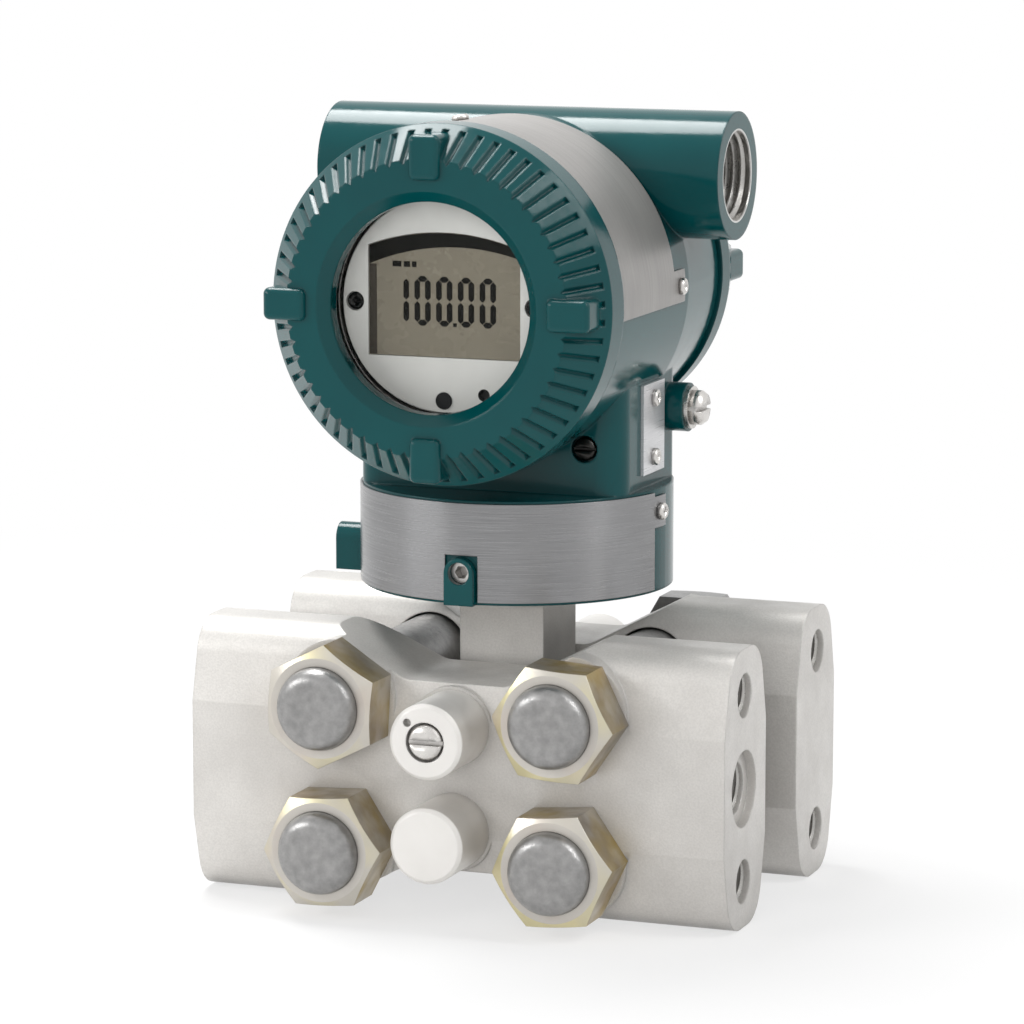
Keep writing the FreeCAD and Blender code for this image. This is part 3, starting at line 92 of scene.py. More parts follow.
class Surface:
    """A node material with one principled shader and short calls for its textures."""

    def __init__(self, name):
        self.material = bpy.data.materials.new(name)
        self.material.use_nodes = True
        self.tree = self.material.node_tree
        self.shader = node_of(self.tree, "BSDF_PRINCIPLED")
        self.coordinates = self.node("ShaderNodeTexCoord").outputs["Object"]

    def node(self, kind, **settings):
        """A new node of a type, with its settings."""
        made = self.tree.nodes.new(kind)
        for name, value in settings.items():
            setattr(made, name, value)
        return made

    def link(self, source, target):
        """Join an output socket to an input socket."""
        self.tree.links.new(source, target)

    def set(self, **values):
        """Constants on the shader's own sockets, named with underscores for spaces."""
        for name, value in values.items():
            self.shader.inputs[name.replace("_", " ")].default_value = value

    def feed(self, name, source):
        """Join an output socket to an input of the shader."""
        self.link(source, self.shader.inputs[name])

    def fed(self, name):
        """The output socket that an input of the shader is joined to."""
        return self.shader.inputs[name].links[0].from_socket

    def stretched(self, scale):
        """Object coordinates scaled apart along the three axes."""
        mapping = self.node("ShaderNodeMapping")
        mapping.inputs["Scale"].default_value = scale
        self.link(self.coordinates, mapping.inputs["Vector"])
        return mapping.outputs["Vector"]

    def noise(self, scale, detail=3.0, vector=None, roughness=0.5):
        """Cloudy noise, mostly near its middle value of a half."""
        texture = self.node("ShaderNodeTexNoise")
        texture.inputs["Scale"].default_value = scale
        texture.inputs["Detail"].default_value = detail
        texture.inputs["Roughness"].default_value = roughness
        self.link(vector or self.coordinates, texture.inputs["Vector"])
        return texture.outputs["Fac"]

    def spread(self, source, low, high, start=0.3, end=0.7):
        """Stretch a texture's middle range, from start to end, over low to high."""
        node = self.node("ShaderNodeMapRange")
        for name, value in (("From Min", start), ("From Max", end), ("To Min", low), ("To Max", high)):
            node.inputs[name].default_value = value
        self.link(source, node.inputs["Value"])
        return node.outputs["Result"]

    def patchy(self, scale, low, high, start=0.3, end=0.7, detail=3.0):
        """Noise stretched over low to high."""
        return self.spread(self.noise(scale, detail), low, high, start, end)

    def mottled(self, colour, shade, scale, detail=3.0, vector=None):
        """Patches between two colours."""
        return self.mix(self.spread(self.noise(scale, detail, vector), 0.0, 1.0), colour, shade)

    def gloss(self, scale, low, high):
        """Uneven roughness between two values."""
        self.feed("Roughness", self.patchy(scale, low, high))

    def math(self, operation, first, second=None):
        """A sum on sockets or numbers."""
        node = self.node("ShaderNodeMath", operation=operation)
        for socket, value in zip(node.inputs, (first, second)):
            if value is None:
                continue
            if isinstance(value, (int, float)):
                socket.default_value = value
            else:
                self.link(value, socket)
        return node.outputs["Value"]

    def mix(self, factor, first, second):
        """Mix two colours; each is a colour tuple or a socket, the factor a socket."""
        node = self.node("ShaderNodeMix", data_type="RGBA")
        for name, value in (("Factor_Float", factor), ("A_Color", first), ("B_Color", second)):
            socket = next(item for item in node.inputs if item.identifier == name)
            if isinstance(value, tuple):
                socket.default_value = (*value, 1.0)
            else:
                self.link(value, socket)
        return next(item for item in node.outputs if item.identifier == "Result_Color")

    def shaded_in_corners(self, colour, corner_shade, reach, most, start, end):
        """A colour darkened by ambient occlusion towards a painted shade in corners, by the share most at
        the deepest.
        """
        node = self.node("ShaderNodeAmbientOcclusion", samples=4)
        node.inputs["Distance"].default_value = reach
        share = self.spread(node.outputs["AO"], most, 0.0, start, end)
        return self.mix(share, colour, corner_shade)

    def position(self):
        """Object coordinates as separate X, Y and Z sockets."""
        node = self.node("ShaderNodeSeparateXYZ")
        self.link(self.coordinates, node.inputs["Vector"])
        return node.outputs["X"], node.outputs["Y"], node.outputs["Z"]

    def inside_circle(self, first, second, middle, radius):
        """1 where two coordinates lie within a radius of a middle, both in millimetres."""
        squares = []
        for coordinate, centre in zip((first, second), middle):
            away = self.math("SUBTRACT", coordinate, centre * MM)
            squares.append(self.math("MULTIPLY", away, away))
        limit = radius * MM
        return self.math("LESS_THAN", self.math("ADD", *squares), limit * limit)

    def facing(self, axis):
        """How far the surface faces along an axis, 0 to 1 either way."""
        node = self.node("ShaderNodeSeparateXYZ")
        self.link(self.node("ShaderNodeTexCoord").outputs["Normal"], node.inputs["Vector"])
        return self.math("ABSOLUTE", node.outputs[axis])

    def relief(self, height, depth, rounding=0.0):
        """Bump of a depth, over edges rounded in the shader by a radius."""
        bump = self.node("ShaderNodeBump")
        bump.inputs["Distance"].default_value = depth
        self.link(height, bump.inputs["Height"])
        if rounding:
            bevel = self.node("ShaderNodeBevel", samples=4)
            bevel.inputs["Radius"].default_value = rounding
            self.link(bevel.outputs["Normal"], bump.inputs["Normal"])
        self.feed("Normal", bump.outputs["Normal"])


def metal(name, colour, shade, roughness, grain, depth, blotch=60.0, rounding=0.0003, metallic=1.0,
          speckle=0.0):
    """Bare metal: blotches between two colours, uneven sheen, a fine grain and, when blasted, speckles."""
    surface = Surface(name)
    surface.set(Metallic=metallic)
    tint = surface.mottled(colour, shade, scale=blotch, detail=4.0)
    if speckle:
        pits = surface.patchy(scale=grain, low=speckle, high=0.0, start=0.35, end=0.65)
        tint = surface.mix(pits, tint, darker(shade, 0.6))
    # Painted shade: the tint darkens in corners and recesses
    corner_shaded = surface.shaded_in_corners(tint, darker(shade, 0.45), reach=0.004, most=0.55, start=0.2, end=0.9)
    surface.feed("Base Color", corner_shaded)
    surface.gloss(scale=blotch * 4.0, low=roughness - 0.06, high=roughness + 0.08)
    surface.relief(surface.noise(grain, detail=2.0), depth, rounding)
    return surface


def brushed(name, colour, shade, roughness, scale, metallic=0.6, wound=0.0):
    """Sheet metal with fine lines; scale gives line density along the three axes.

    Lines that run round the Z axis stretch the gloss upwards, by the share wound."""
    surface = Surface(name)
    surface.set(Metallic=metallic)
    lines = surface.noise(1.0, vector=surface.stretched(scale), roughness=0.65)
    cloud = surface.patchy(scale=45.0, low=0.0, high=0.6)
    base = surface.mix(surface.spread(lines, 0.0, 1.0), colour, shade)
    base = surface.mix(cloud, base, darker(shade, 0.85))
    if wound:
        surface.set(Anisotropic=wound, Anisotropic_Rotation=QUARTER_TURN)
        around = surface.node("ShaderNodeTangent", direction_type="RADIAL", axis="Z")
        surface.feed("Tangent", around.outputs["Tangent"])
    surface.feed("Base Color", base)
    surface.feed("Roughness", surface.spread(lines, roughness - 0.07, roughness + 0.1))
    surface.relief(lines, depth=0.00002, rounding=0.0002)
    return surface


def plastic(name, colour, shade, roughness, grain=2500.0, depth=0.00002, specular=0.5):
    """Moulded plastic with faint mottling and a spark-eroded grain."""
    surface = Surface(name)
    surface.set(Specular_IOR_Level=specular)
    mottled = surface.mottled(colour, shade, scale=180.0)
    # Painted shade: the mottled colour darkens in corners and recesses
    corner_shaded = surface.shaded_in_corners(mottled, darker(shade, 0.5), reach=0.003, most=0.4, start=0.3, end=0.9)
    surface.feed("Base Color", corner_shaded)
    surface.gloss(scale=400.0, low=roughness - 0.05, high=roughness + 0.07)
    surface.relief(surface.noise(grain, detail=2.0), depth, rounding=0.0002)
    return surface


# Materials

# Bare metal of the conduit mouths: past the entry's edge and outside its floor, in millimetres
MOUTH_EDGE = 0.4
MOUTH_FLOOR_MARGIN = 1.0
# Cells a metre across and along the lines of brushed metal
BRUSH_ACROSS = 5000.0
BRUSH_ALONG = 60.0


def teal_paint(name, bare_entries=False):
    """Gloss teal enamel on a casting, with orange peel; the conduit mouths can be left bare."""
    surface = Surface(name)
    surface.set(Specular_IOR_Level=0.25)
    colour = surface.mottled((0.0, 0.064, 0.068), (0.0, 0.053, 0.058), scale=35.0, detail=4.0)
    # Painted shade: the teal darkens in corners and recesses
    colour = surface.shaded_in_corners(colour, (0.0, 0.022, 0.026), reach=0.006, most=0.7, start=0.25, end=0.95)
    if bare_entries:
        mask = bare_mouths(surface)
        lathe = surface.stretched((2500.0, 60.0, 60.0))
        bare = surface.mottled((0.72, 0.71, 0.69), (0.5, 0.49, 0.47), scale=1.0, detail=2.0, vector=lathe)
        colour = surface.mix(mask, colour, bare)
        surface.feed("Metallic", mask)
    surface.feed("Base Color", colour)
    surface.gloss(scale=220.0, low=0.1, high=0.17)
    surface.relief(surface.noise(700.0, detail=2.0), depth=0.000008, rounding=0.0006)
    return surface


def bare_mouths(surface):
    """1 inside the conduit entries, which are machined after painting."""
    across, along, up = surface.position()
    inside = surface.inside_circle(along, up, (TUBE_OFFSET, TUBE_HEIGHT), ENTRY_RADIUS + MOUTH_EDGE)
    floor = (ENTRY_FLOOR - MOUTH_FLOOR_MARGIN) * MM
    outward = surface.math("GREATER_THAN", surface.math("ABSOLUTE", across), floor)
    return surface.math("MULTIPLY", inside, outward)


def lcd_face():
    """Grey-beige display cell with a fine grain and a faint cloud."""
    surface = Surface("lcd_face")
    base = surface.mottled((0.221, 0.196, 0.142), (0.214, 0.19, 0.138), scale=900.0, detail=2.0)
    cloud = surface.patchy(scale=40.0, low=0.0, high=0.14, start=0.1, end=0.9, detail=1.0)
    surface.feed("Base Color", surface.mix(cloud, base, (0.17, 0.155, 0.12)))
    surface.gloss(scale=300.0, low=0.22, high=0.32)
    return surface


def bezel_plastic():
    """Off-white moulding round the display; its sensor hole is painted dark inside as shade."""
    surface = plastic("bezel_plastic", (0.93, 0.93, 0.885), (0.88, 0.88, 0.835), roughness=0.42)
    across, _, up = surface.position()
    hole = surface.inside_circle(across, up, (DIMPLE_ACROSS, DIMPLE_HEIGHT), DIMPLE_RADIUS)
    # Painted shade: the sensor hole's floor is coloured near black
    surface.feed("Base Color", surface.mix(hole, surface.fed("Base Color"), (0.012, 0.012, 0.012)))
    return surface


def clear_glass():
    """Thin clear window: mostly see-through, with a faint reflection."""
    surface = Surface("clear_glass")
    surface.set(Alpha=0.05)
    surface.gloss(scale=60.0, low=0.02, high=0.06)
    surface.feed("Base Color", surface.mix(surface.noise(30.0), (0.03, 0.036, 0.036), (0.02, 0.025, 0.025)))
    surface.material.surface_render_method = "BLENDED"
    return surface


def seal_rubber():
    """Dull black rubber with a fine grain."""
    surface = Surface("seal_rubber")
    surface.feed("Base Color", surface.mottled((0.012, 0.012, 0.012), (0.025, 0.025, 0.024), scale=300.0))
    surface.gloss(scale=500.0, low=0.55, high=0.75)
    surface.relief(surface.noise(3000.0), depth=0.00002)
    return surface


def yellow_zinc():
    """Chromate-passivated nuts: pale faces, patchy yellow chamfers, partly chromate and partly a painted
    highlight, straw flanks darkened as painted shade, and a tinge of pink.
    """
    surface = metal("yellow_zinc", (0.6, 0.57, 0.52), (0.5, 0.475, 0.44), roughness=0.34,
                    grain=2600.0, depth=0.00002, blotch=55.0, metallic=0.6)
    base = surface.fed("Base Color")
    # Straw flanks: the chromate's own tint, darkened as painted shade
    straw = surface.mottled((0.38, 0.27, 0.07), (0.24, 0.21, 0.17), scale=90.0, detail=2.0)
    flank_shade = surface.spread(surface.facing("Y"), low=1.0, high=0.0, start=0.6, end=0.97)
    streaks = surface.patchy(scale=110.0, low=0.55, high=1.0, start=0.35, end=0.6)
    coloured = surface.mix(surface.math("MULTIPLY", flank_shade, streaks), base, straw)
    # The chamfer ring takes a lighter yellow: partly the chromate's own colour, partly a painted highlight
    off_flank = surface.spread(surface.facing("Y"), low=0.0, high=1.0, start=0.6, end=0.8)
    off_face = surface.spread(surface.facing("Y"), low=1.0, high=0.0, start=0.92, end=0.98)
    chamfer = surface.math("MULTIPLY", off_flank, off_face)
    patches = surface.patchy(scale=48.0, low=0.05, high=0.75, start=0.42, end=0.62, detail=2.0)
    yellow = surface.math("MULTIPLY", chamfer, patches)
    coloured = surface.mix(yellow, surface.mix(off_flank, coloured, base), (0.68, 0.61, 0.32))
    rose = surface.patchy(scale=70.0, low=0.0, high=0.3, start=0.5, end=0.75, detail=2.0)
    surface.feed("Base Color", surface.mix(rose, coloured, (0.52, 0.38, 0.3)))
    return surface


def metals():
    """Bare metals by the name that nodes, slots and pieces use."""
    return {
        "flange_steel": metal("satin_stainless", (0.7, 0.68, 0.65), (0.57, 0.55, 0.525), roughness=0.4,
                              grain=2200.0, depth=0.00004, blotch=45.0, rounding=0.0006, metallic=0.3,
                              speckle=0.2),
        "bolt_steel": metal("dull_bolt_steel", (0.34, 0.335, 0.33), (0.25, 0.248, 0.245), roughness=0.34,
                            grain=1500.0, depth=0.00005, blotch=500.0, metallic=0.7),
        "plug_steel": metal("turned_plug", (0.8, 0.78, 0.75), (0.74, 0.72, 0.69), roughness=0.38,
                            grain=2600.0, depth=0.00002, rounding=0.0005, metallic=0.3),
        "nut_steel": yellow_zinc(),
        "small_steel": metal("screw_steel", (0.72, 0.7, 0.67), (0.58, 0.56, 0.54), roughness=0.3,
                             grain=4000.0, depth=0.00001, blotch=300.0),
        # Near-black screws: painted shade for screws that sit in shadow
        "screw_in_shade": metal("screw_painted_as_shade", (0.05, 0.048, 0.045), (0.03, 0.03, 0.03), roughness=0.35,
                            grain=4000.0, depth=0.00001, blotch=300.0),
        "thread_steel": metal("cut_thread", (0.5, 0.49, 0.47), (0.4, 0.39, 0.37), roughness=0.3,
                              grain=4000.0, depth=0.00001, blotch=300.0, metallic=0.8),
        "brass": metal("brass", (0.66, 0.44, 0.16), (0.52, 0.34, 0.12), roughness=0.3,
                       grain=3000.0, depth=0.00001, blotch=200.0),
        "collar_band": brushed("brushed_band", (0.32, 0.32, 0.325), (0.245, 0.245, 0.25), roughness=0.3,
                               scale=(BRUSH_ALONG, BRUSH_ALONG, BRUSH_ACROSS), metallic=0.9, wound=0.9),
        "barrel_plate": brushed("brushed_plate", (0.37, 0.355, 0.34), (0.29, 0.28, 0.27), roughness=0.36,
                                scale=(BRUSH_ALONG, BRUSH_ACROSS, BRUSH_ALONG), metallic=0.35),
        "tag_plate": brushed("brushed_tag", (0.74, 0.74, 0.75), (0.6, 0.6, 0.61), roughness=0.32,
                             scale=(BRUSH_ALONG, BRUSH_ALONG, BRUSH_ACROSS)),
    }


def coatings_and_mouldings():
    """Paint, plastics, seals, glass, display inks and the display's painted shadow and shade by the name
    that nodes, slots and pieces use.
    """
    return {
        "housing": teal_paint("teal_enamel_housing", bare_entries=True),
        "teal_paint": teal_paint("teal_enamel"),
        "bezel_plastic": bezel_plastic(),
        "lcd": lcd_face(),
        "dark_plastic": plastic("dark_plastic", (0.01, 0.01, 0.011), (0.016, 0.016, 0.017), roughness=0.5,
                                specular=0.2),
        "board": plastic("board_lacquer", (0.012, 0.11, 0.04), (0.01, 0.085, 0.03), roughness=0.3,
                         grain=900.0, depth=0.00005),
        "white_gasket": plastic("gasket_white", (0.8, 0.8, 0.77), (0.72, 0.72, 0.69), roughness=0.5),
        "grey_gasket": plastic("gasket_grey", (0.34, 0.36, 0.35), (0.28, 0.3, 0.29), roughness=0.6),
        "seal_rubber": seal_rubber(),
        "window_glass": clear_glass(),
        # Printed reading; the same material paints the shadow band under the display's arch
        "ink_and_shadow": plastic("display_ink_and_shadow", (0.006, 0.006, 0.005), (0.012, 0.011, 0.009), roughness=0.6,
                       specular=0.08),
        # Painted shade for the strip down the display's left side
        "shade": plastic("display_shade", (0.06, 0.053, 0.043), (0.08, 0.07, 0.056), roughness=0.6,
                         specular=0.1),
    }


MATERIALS = {**metals(), **coatings_and_mouldings()}
# Nodes whose material isn't the one named by their slot
NODE_MATERIALS = {
    "amplifier_housing": "housing",
    "collar_band": "collar_band",
    "barrel_plate": "barrel_plate",
    "tag_plate": "tag_plate",
    "vent_plug": "plug_steel",
    "drain_plug": "plug_steel",
    "low_side_plugs": "plug_steel",
    "window_gasket": "grey_gasket",
    # Screws coloured near black as painted shade
    "indicator_screws": "screw_in_shade",
    "zero_adjust_screw": "screw_in_shade",
}


def material_of(node):
    """Name of the material that a CAD node wears."""
    return NODE_MATERIALS.get(node, SLOTS[node])


def dress_nodes():
    """Give every CAD node the material of its slot, or its own."""
    for name, node in NODES.items():
        surface = MATERIALS[material_of(name)]
        node.data.materials.clear()
        node.data.materials.append(surface.material)


# Mesh helpers

SHARP_ANGLE = 35.0


def add_object(name, data):
    """A new object in the scene."""
    made = bpy.data.objects.new(name, data)
    bpy.context.scene.collection.objects.link(made)
    return made


def piece(name, mesh, material, body, slot):
    """A new piece in the row frame that rides on a body."""
    made = add_object(name, mesh)
    mesh.materials.clear()
    mesh.materials.append(MATERIALS[material].material)
    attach(made, body)
    return made


def mesh_of(name, bm):
    """A mesh with its faces turned outwards; the bmesh is freed."""
    bmesh.ops.recalc_face_normals(bm, faces=bm.faces)
    mesh = bpy.data.meshes.new(name)
    bm.to_mesh(mesh)
    bm.free()
    return mesh


def smooth(mesh, angle=SHARP_ANGLE):
    """Smooth shading that breaks at edges sharper than an angle in degrees."""
    mesh.polygons.foreach_set("use_smooth", [True] * len(mesh.polygons))
    mesh.set_sharp_from_angle(angle=math.radians(angle))
    return mesh


def add_plate(bm, corners, front, back):
    """Closed flat plate with (x, z) corners between two Y values, all in millimetres."""
    near = [bm.verts.new((x * MM, front * MM, z * MM)) for x, z in corners]
    far = [bm.verts.new((x * MM, back * MM, z * MM)) for x, z in corners]
    bm.faces.new(near)
    bm.faces.new(list(reversed(far)))
    for index in range(len(corners)):
        following = (index + 1) % len(corners)
        bm.faces.new((near[index], far[index], far[following], near[following]))


def add_strip(bm, upper, lower, front, back):
    """Closed flat ribbon between two rows of (x, z) points."""
    rows = [[bm.verts.new((x * MM, y * MM, z * MM)) for x, z in points]
            for points, y in ((upper, front), (lower, front), (lower, back), (upper, back))]
    for index in range(len(upper) - 1):
        for row, following in zip(rows, rows[1:] + rows[:1]):
            bm.faces.new((row[index], row[index + 1], following[index + 1], following[index]))
    for end in (0, -1):
        bm.faces.new([row[end] for row in rows])


def rectangle(x, z, wide, high):
    """Corners of a rectangle about a middle."""
    return [(x - wide / 2, z - high / 2), (x + wide / 2, z - high / 2),
            (x + wide / 2, z + high / 2), (x - wide / 2, z + high / 2)]


def frame_along(at, direction):
    """Matrix from a local frame, Z along a direction, to a place."""
    return Matrix.Translation(Vector(at)) @ Vector(direction).to_track_quat("Z", "Y").to_matrix().to_4x4()


# Display, in millimetres

DIGIT_WIDTH = 3.7
DIGIT_HEIGHT = 10.7
DIGIT_PITCH = 5.0
DIGIT_MIDDLE = 136.6
STROKE = 1.25
STROKE_GAP = 0.12
INK_THICKNESS = 0.1
DOT_SIZE = 0.8
DOT_GAP = 0.2
READING = "100.00"
SEGMENTS = {
    "0": "abcdef", "1": "bc", "2": "abged", "3": "abgcd", "4": "fgbc",
    "5": "afgcd", "6": "afgedc", "7": "abc", "8": "abcdefg", "9": "abcfgd",
}
# Plain bars over the reading: the middle and width of each, then the height of their row and of a bar
BARS = ((-10.9, 2.0), (-8.6, 1.4), (-6.9, 1.0))
BAR_ROW = 144.4
BAR_HEIGHT = 1.2
# Arched top of the display cell and the painted shadow band along it, with a painted shade strip down its
# left side
ARCH_RADIUS = 49.9
BAND_LEFT = 4.0
BAND_RIGHT = 2.0
BAND_STEPS = 24
SIDE_STRIP = 1.7
CELL_MARGIN = 0.1


def segment_corners(start, end):
    """Long hexagon between two points, one stroke wide."""
    along = (Vector(end) - Vector(start)).normalized()
    side = Vector((-along.y, along.x)) * STROKE / 2
    first = Vector(start) + along * STROKE_GAP
    last = Vector(end) - along * STROKE_GAP
    inner_first = first + along * STROKE / 2
    inner_last = last - along * STROKE / 2
    return [first, inner_first + side, inner_last + side, last, inner_last - side, inner_first - side]


def digit_strokes(left, bottom):
    """Ends of the seven strokes of a digit whose stroke centre lines start at left and bottom."""
    half = (DIGIT_HEIGHT - STROKE) / 2
    right = left + DIGIT_WIDTH - STROKE
    middle = bottom + half
    top = bottom + 2 * half
    return {
        "a": ((left, top), (right, top)),
        "b": ((right, middle), (right, top)),
        "c": ((right, bottom), (right, middle)),
        "d": ((left, bottom), (right, bottom)),
        "e": ((left, bottom), (left, middle)),
        "f": ((left, middle), (left, top)),
        "g": ((left, middle), (right, middle)),
    }


def lcd_ink():
    """Reading and plain bars of the display, as thin raised strokes."""
    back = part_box("lcd_panel")[0].y / MM
    front = back - INK_THICKNESS
    bm = bmesh.new()
    digits = [letter for letter in READING if letter != "."]
    point_after = READING.index(".") - 1
    bottom = DIGIT_MIDDLE - DIGIT_HEIGHT / 2 + STROKE / 2
    for index, letter in enumerate(digits):
        left = (index - (len(digits) - 1) / 2) * DIGIT_PITCH - DIGIT_WIDTH / 2 + STROKE / 2
        strokes = digit_strokes(left, bottom)
        for segment in SEGMENTS[letter]:
            add_plate(bm, segment_corners(*strokes[segment]), front, back)
        if index == point_after:
            dot_across = left + DIGIT_WIDTH - STROKE / 2 + DOT_GAP + DOT_SIZE / 2
            dot_height = bottom - STROKE / 2 + DOT_SIZE / 2
            add_plate(bm, rectangle(dot_across, dot_height, DOT_SIZE, DOT_SIZE), front, back)
    for across, wide in BARS:
        add_plate(bm, rectangle(across, BAR_ROW, wide, BAR_HEIGHT), front, back)
    piece("lcd_ink", mesh_of("lcd_ink", bm), "ink_and_shadow", "head", "lcd")


def lcd_shadow():
    """Painted shadow: a dark band under the arched top of the display cell, and a dimmer strip of painted
    shade down its left side.
    """
    low, high = (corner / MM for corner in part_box("lcd_panel"))
    left, right = low.x + CELL_MARGIN, high.x - CELL_MARGIN
    centre = high.z - ARCH_RADIUS
    upper, lower = [], []
    for step in range(BAND_STEPS + 1):
        share = step / BAND_STEPS
        x = left + share * (right - left)
        top = centre + math.sqrt(ARCH_RADIUS ** 2 - x ** 2) - CELL_MARGIN
        upper.append((x, top))
        lower.append((x, top - BAND_LEFT - share * (BAND_RIGHT - BAND_LEFT)))
    # Painted shadow of the arch's edge, thicker at the left
    band = bmesh.new()
    add_strip(band, upper, lower, low.y - INK_THICKNESS, low.y)
    piece("lcd_arch_shadow", mesh_of("lcd_arch_shadow", band), "ink_and_shadow", "head", "lcd")
    # Painted shade down the cell's left side
    strip = bmesh.new()
    inner = left + SIDE_STRIP
    foot = low.z + CELL_MARGIN
    head = lower[0][1]
    corners = [(left, foot), (inner, foot), (inner, head), (left, head)]
    add_plate(strip, corners, low.y - INK_THICKNESS / 2, low.y)
    piece("lcd_side_shade", mesh_of("lcd_side_shade", strip), "shade", "head", "lcd")


# Threads cut in the ports and bolt holes: pitches and lengths in millimetres

CONDUIT_PITCH = 1.81
PORT_PITCH = 1.41
BOLT_PITCH = 1.5
BOLT_THREAD = 12.0
LEAD_IN = 1.2
WALL_BITE = 0.05
# Depth and width of a ridge, as shares of its pitch
THREAD_DEPTH = 0.5
RIDGE_WIDTH = 0.84
# Steps in a turn and in the fading ends, and the angle that keeps a crest sharp, in degrees
THREAD_STEPS = 40
FADE_STEPS = 20
CREST_ANGLE = 50.0


def thread(name, mouth, inward, radius, length, pitch, node):
    """Helical ridge inside a node's bore, from just below its mouth inwards, fading out at both ends."""
    place = frame_along(mouth, inward)
    count = int((length - 2 * LEAD_IN) / pitch * THREAD_STEPS)
    wall = radius + WALL_BITE
    bm = bmesh.new()
    rings = []
    for step in range(count + 1):
        turn = 2 * math.pi * step / THREAD_STEPS
        along = LEAD_IN + pitch * step / THREAD_STEPS
        fade = min(1.0, (step + 1) / FADE_STEPS, (count - step + 1) / FADE_STEPS)
        crest = radius - THREAD_DEPTH * pitch * fade
        half = RIDGE_WIDTH * pitch / 2 * fade
        profile = ((wall, along - half), (crest, along), (wall, along + half))
        rings.append([bm.verts.new(place @ Vector((r * math.cos(turn), r * math.sin(turn), z)) * MM)
                      for r, z in profile])
    for ring, following in zip(rings, rings[1:]):
        for index in range(len(ring)):
            after = (index + 1) % len(ring)
            bm.faces.new((ring[index], ring[after], following[after], following[index]))
    bm.faces.new(rings[0])
    bm.faces.new(rings[-1])
    piece(name, smooth(mesh_of(name, bm), CREST_ANGLE), "thread_steel", BODIES[node], SLOTS[node])


def mount_thread(name, pitch, node):
    """Thread of a threaded-hole mount, whose place is the middle of its bore."""
    mount = MOUNTS[name]
    outward = Vector(mount["axis"])
    radius = mount["dims"]["r_mm"]
    length = mount["dims"]["length_mm"]
    mouth = Vector(mount["pos_m"]) / MM + outward * length / 2
    thread(f"{name}_thread", mouth, -outward, radius, length, pitch, node)


def bolt_threads(name, node):
    """Threads of the four tapped holes of a bolt pattern on the flanges' ends."""
    mount = MOUNTS[name]
    outward = Vector(mount["axis"])
    middle = Vector(mount["pos_m"]) / MM
    dims = mount["dims"]
    for row, level in ((-1, "low"), (1, "high")):
        for column, side in ((-1, "front"), (1, "back")):
            shift = Vector((0.0, column * dims["spacing_x_mm"] / 2, row * dims["spacing_y_mm"] / 2))
            thread(f"{name}_thread_{side}_{level}", middle + shift, -outward, dims["hole_r_mm"],
                   BOLT_THREAD, BOLT_PITCH, node)


def threads():
    """Threads of the conduit entry, the process port and the flanges' tapped holes."""
    mount_thread("conduit_entry", CONDUIT_PITCH, "amplifier_housing")
    mount_thread("process_port", PORT_PITCH, "high_side_flange")
    bolt_threads("process_bolts", "high_side_flange")
    bolt_threads("bracket_bolts", "high_side_flange")


# Driver recesses in the screw heads: sizes as shares of a head's radius

CROSS_ARM = 0.6
CROSS_HALF = 0.15
CROSS_DEPTH = 0.45
SLOT_ARM = 1.3
SLOT_HALF = 0.13
SLOT_DEPTH = 0.3
# Width at the floor of a cross, as a share of its width at the top
RECESS_TAPER = 0.65
# Height of a cutter over the head in millimetres, and the welding distance in metres
RECESS_CLEAR = 0.3
WELD = 0.000002


def about_barrel(point):
    """Direction away from the barrel's axis."""
    return Vector((point.x, 0.0, point.z - HOUSING_AXIS * MM)).normalized()


def about_collar(point):
    """Direction away from the collar's axis."""
    return Vector((point.x, point.y, 0.0)).normalized()


def towards(direction):
    """The same direction for every screw of a node."""
    return lambda point: Vector(direction)


DRIVEN = (
    ("barrel_plate_screws", about_barrel, "cross"),
    ("collar_band_screws", about_collar, "cross"),
    ("tag_plate_screws", towards((1, 0, 0)), "cross"),
    ("indicator_screws", towards((0, -1, 0)), "cross"),
    ("terminal_block_screws", towards((0, 1, 0)), "cross"),
    ("terminal_screws", towards((0, 1, 0)), "cross"),
    ("ground_screw", towards((1, 0, 0)), "slot"),
    ("zero_adjust_screw", towards((0, -1, 0)), "slot"),
    ("vent_screw", towards((0, -1, 0)), "slot"),
)


def islands(bm):
    """Lists of vertices of each closed piece in a mesh, in the same order each run."""
    reached = set()
    for start in bm.verts:
        if start in reached:
            continue
        reached.add(start)
        found = [start]
        for vertex in found:
            for edge in vertex.link_edges:
                other = edge.other_vert(vertex)
                if other not in reached:
                    reached.add(other)
                    found.append(other)
        yield found


def recess_outline(kind):
    """Corners of a driver recess for a head of radius 1."""
    if kind == "slot":
        return rectangle(0.0, 0.0, 2 * SLOT_ARM, 2 * SLOT_HALF)
    quarter = [(CROSS_HALF, CROSS_HALF), (CROSS_HALF, CROSS_ARM), (-CROSS_HALF, CROSS_ARM)]
    corners = []
    for _ in range(4):
        corners.extend(quarter)
        quarter = [(-y, x) for x, y in quarter]
    return corners


def add_recess(bm, top, out, radius, kind):
    """Tapered cutter sunk into a screw's head."""
    place = frame_along(top, out)
    depth = radius * (SLOT_DEPTH if kind == "slot" else CROSS_DEPTH)
    taper = 1.0 if kind == "slot" else RECESS_TAPER
    rims = []
    for share, height in ((taper, -depth), (1.0, RECESS_CLEAR * MM)):
        rims.append([bm.verts.new(place @ Vector((x * radius * share, y * radius * share, height)))
                     for x, y in recess_outline(kind)])
    bm.faces.new(rims[0])
    bm.faces.new(rims[1])
    for index in range(len(rims[0])):
        after = (index + 1) % len(rims[0])
        bm.faces.new((rims[0][index], rims[0][after], rims[1][after], rims[1][index]))


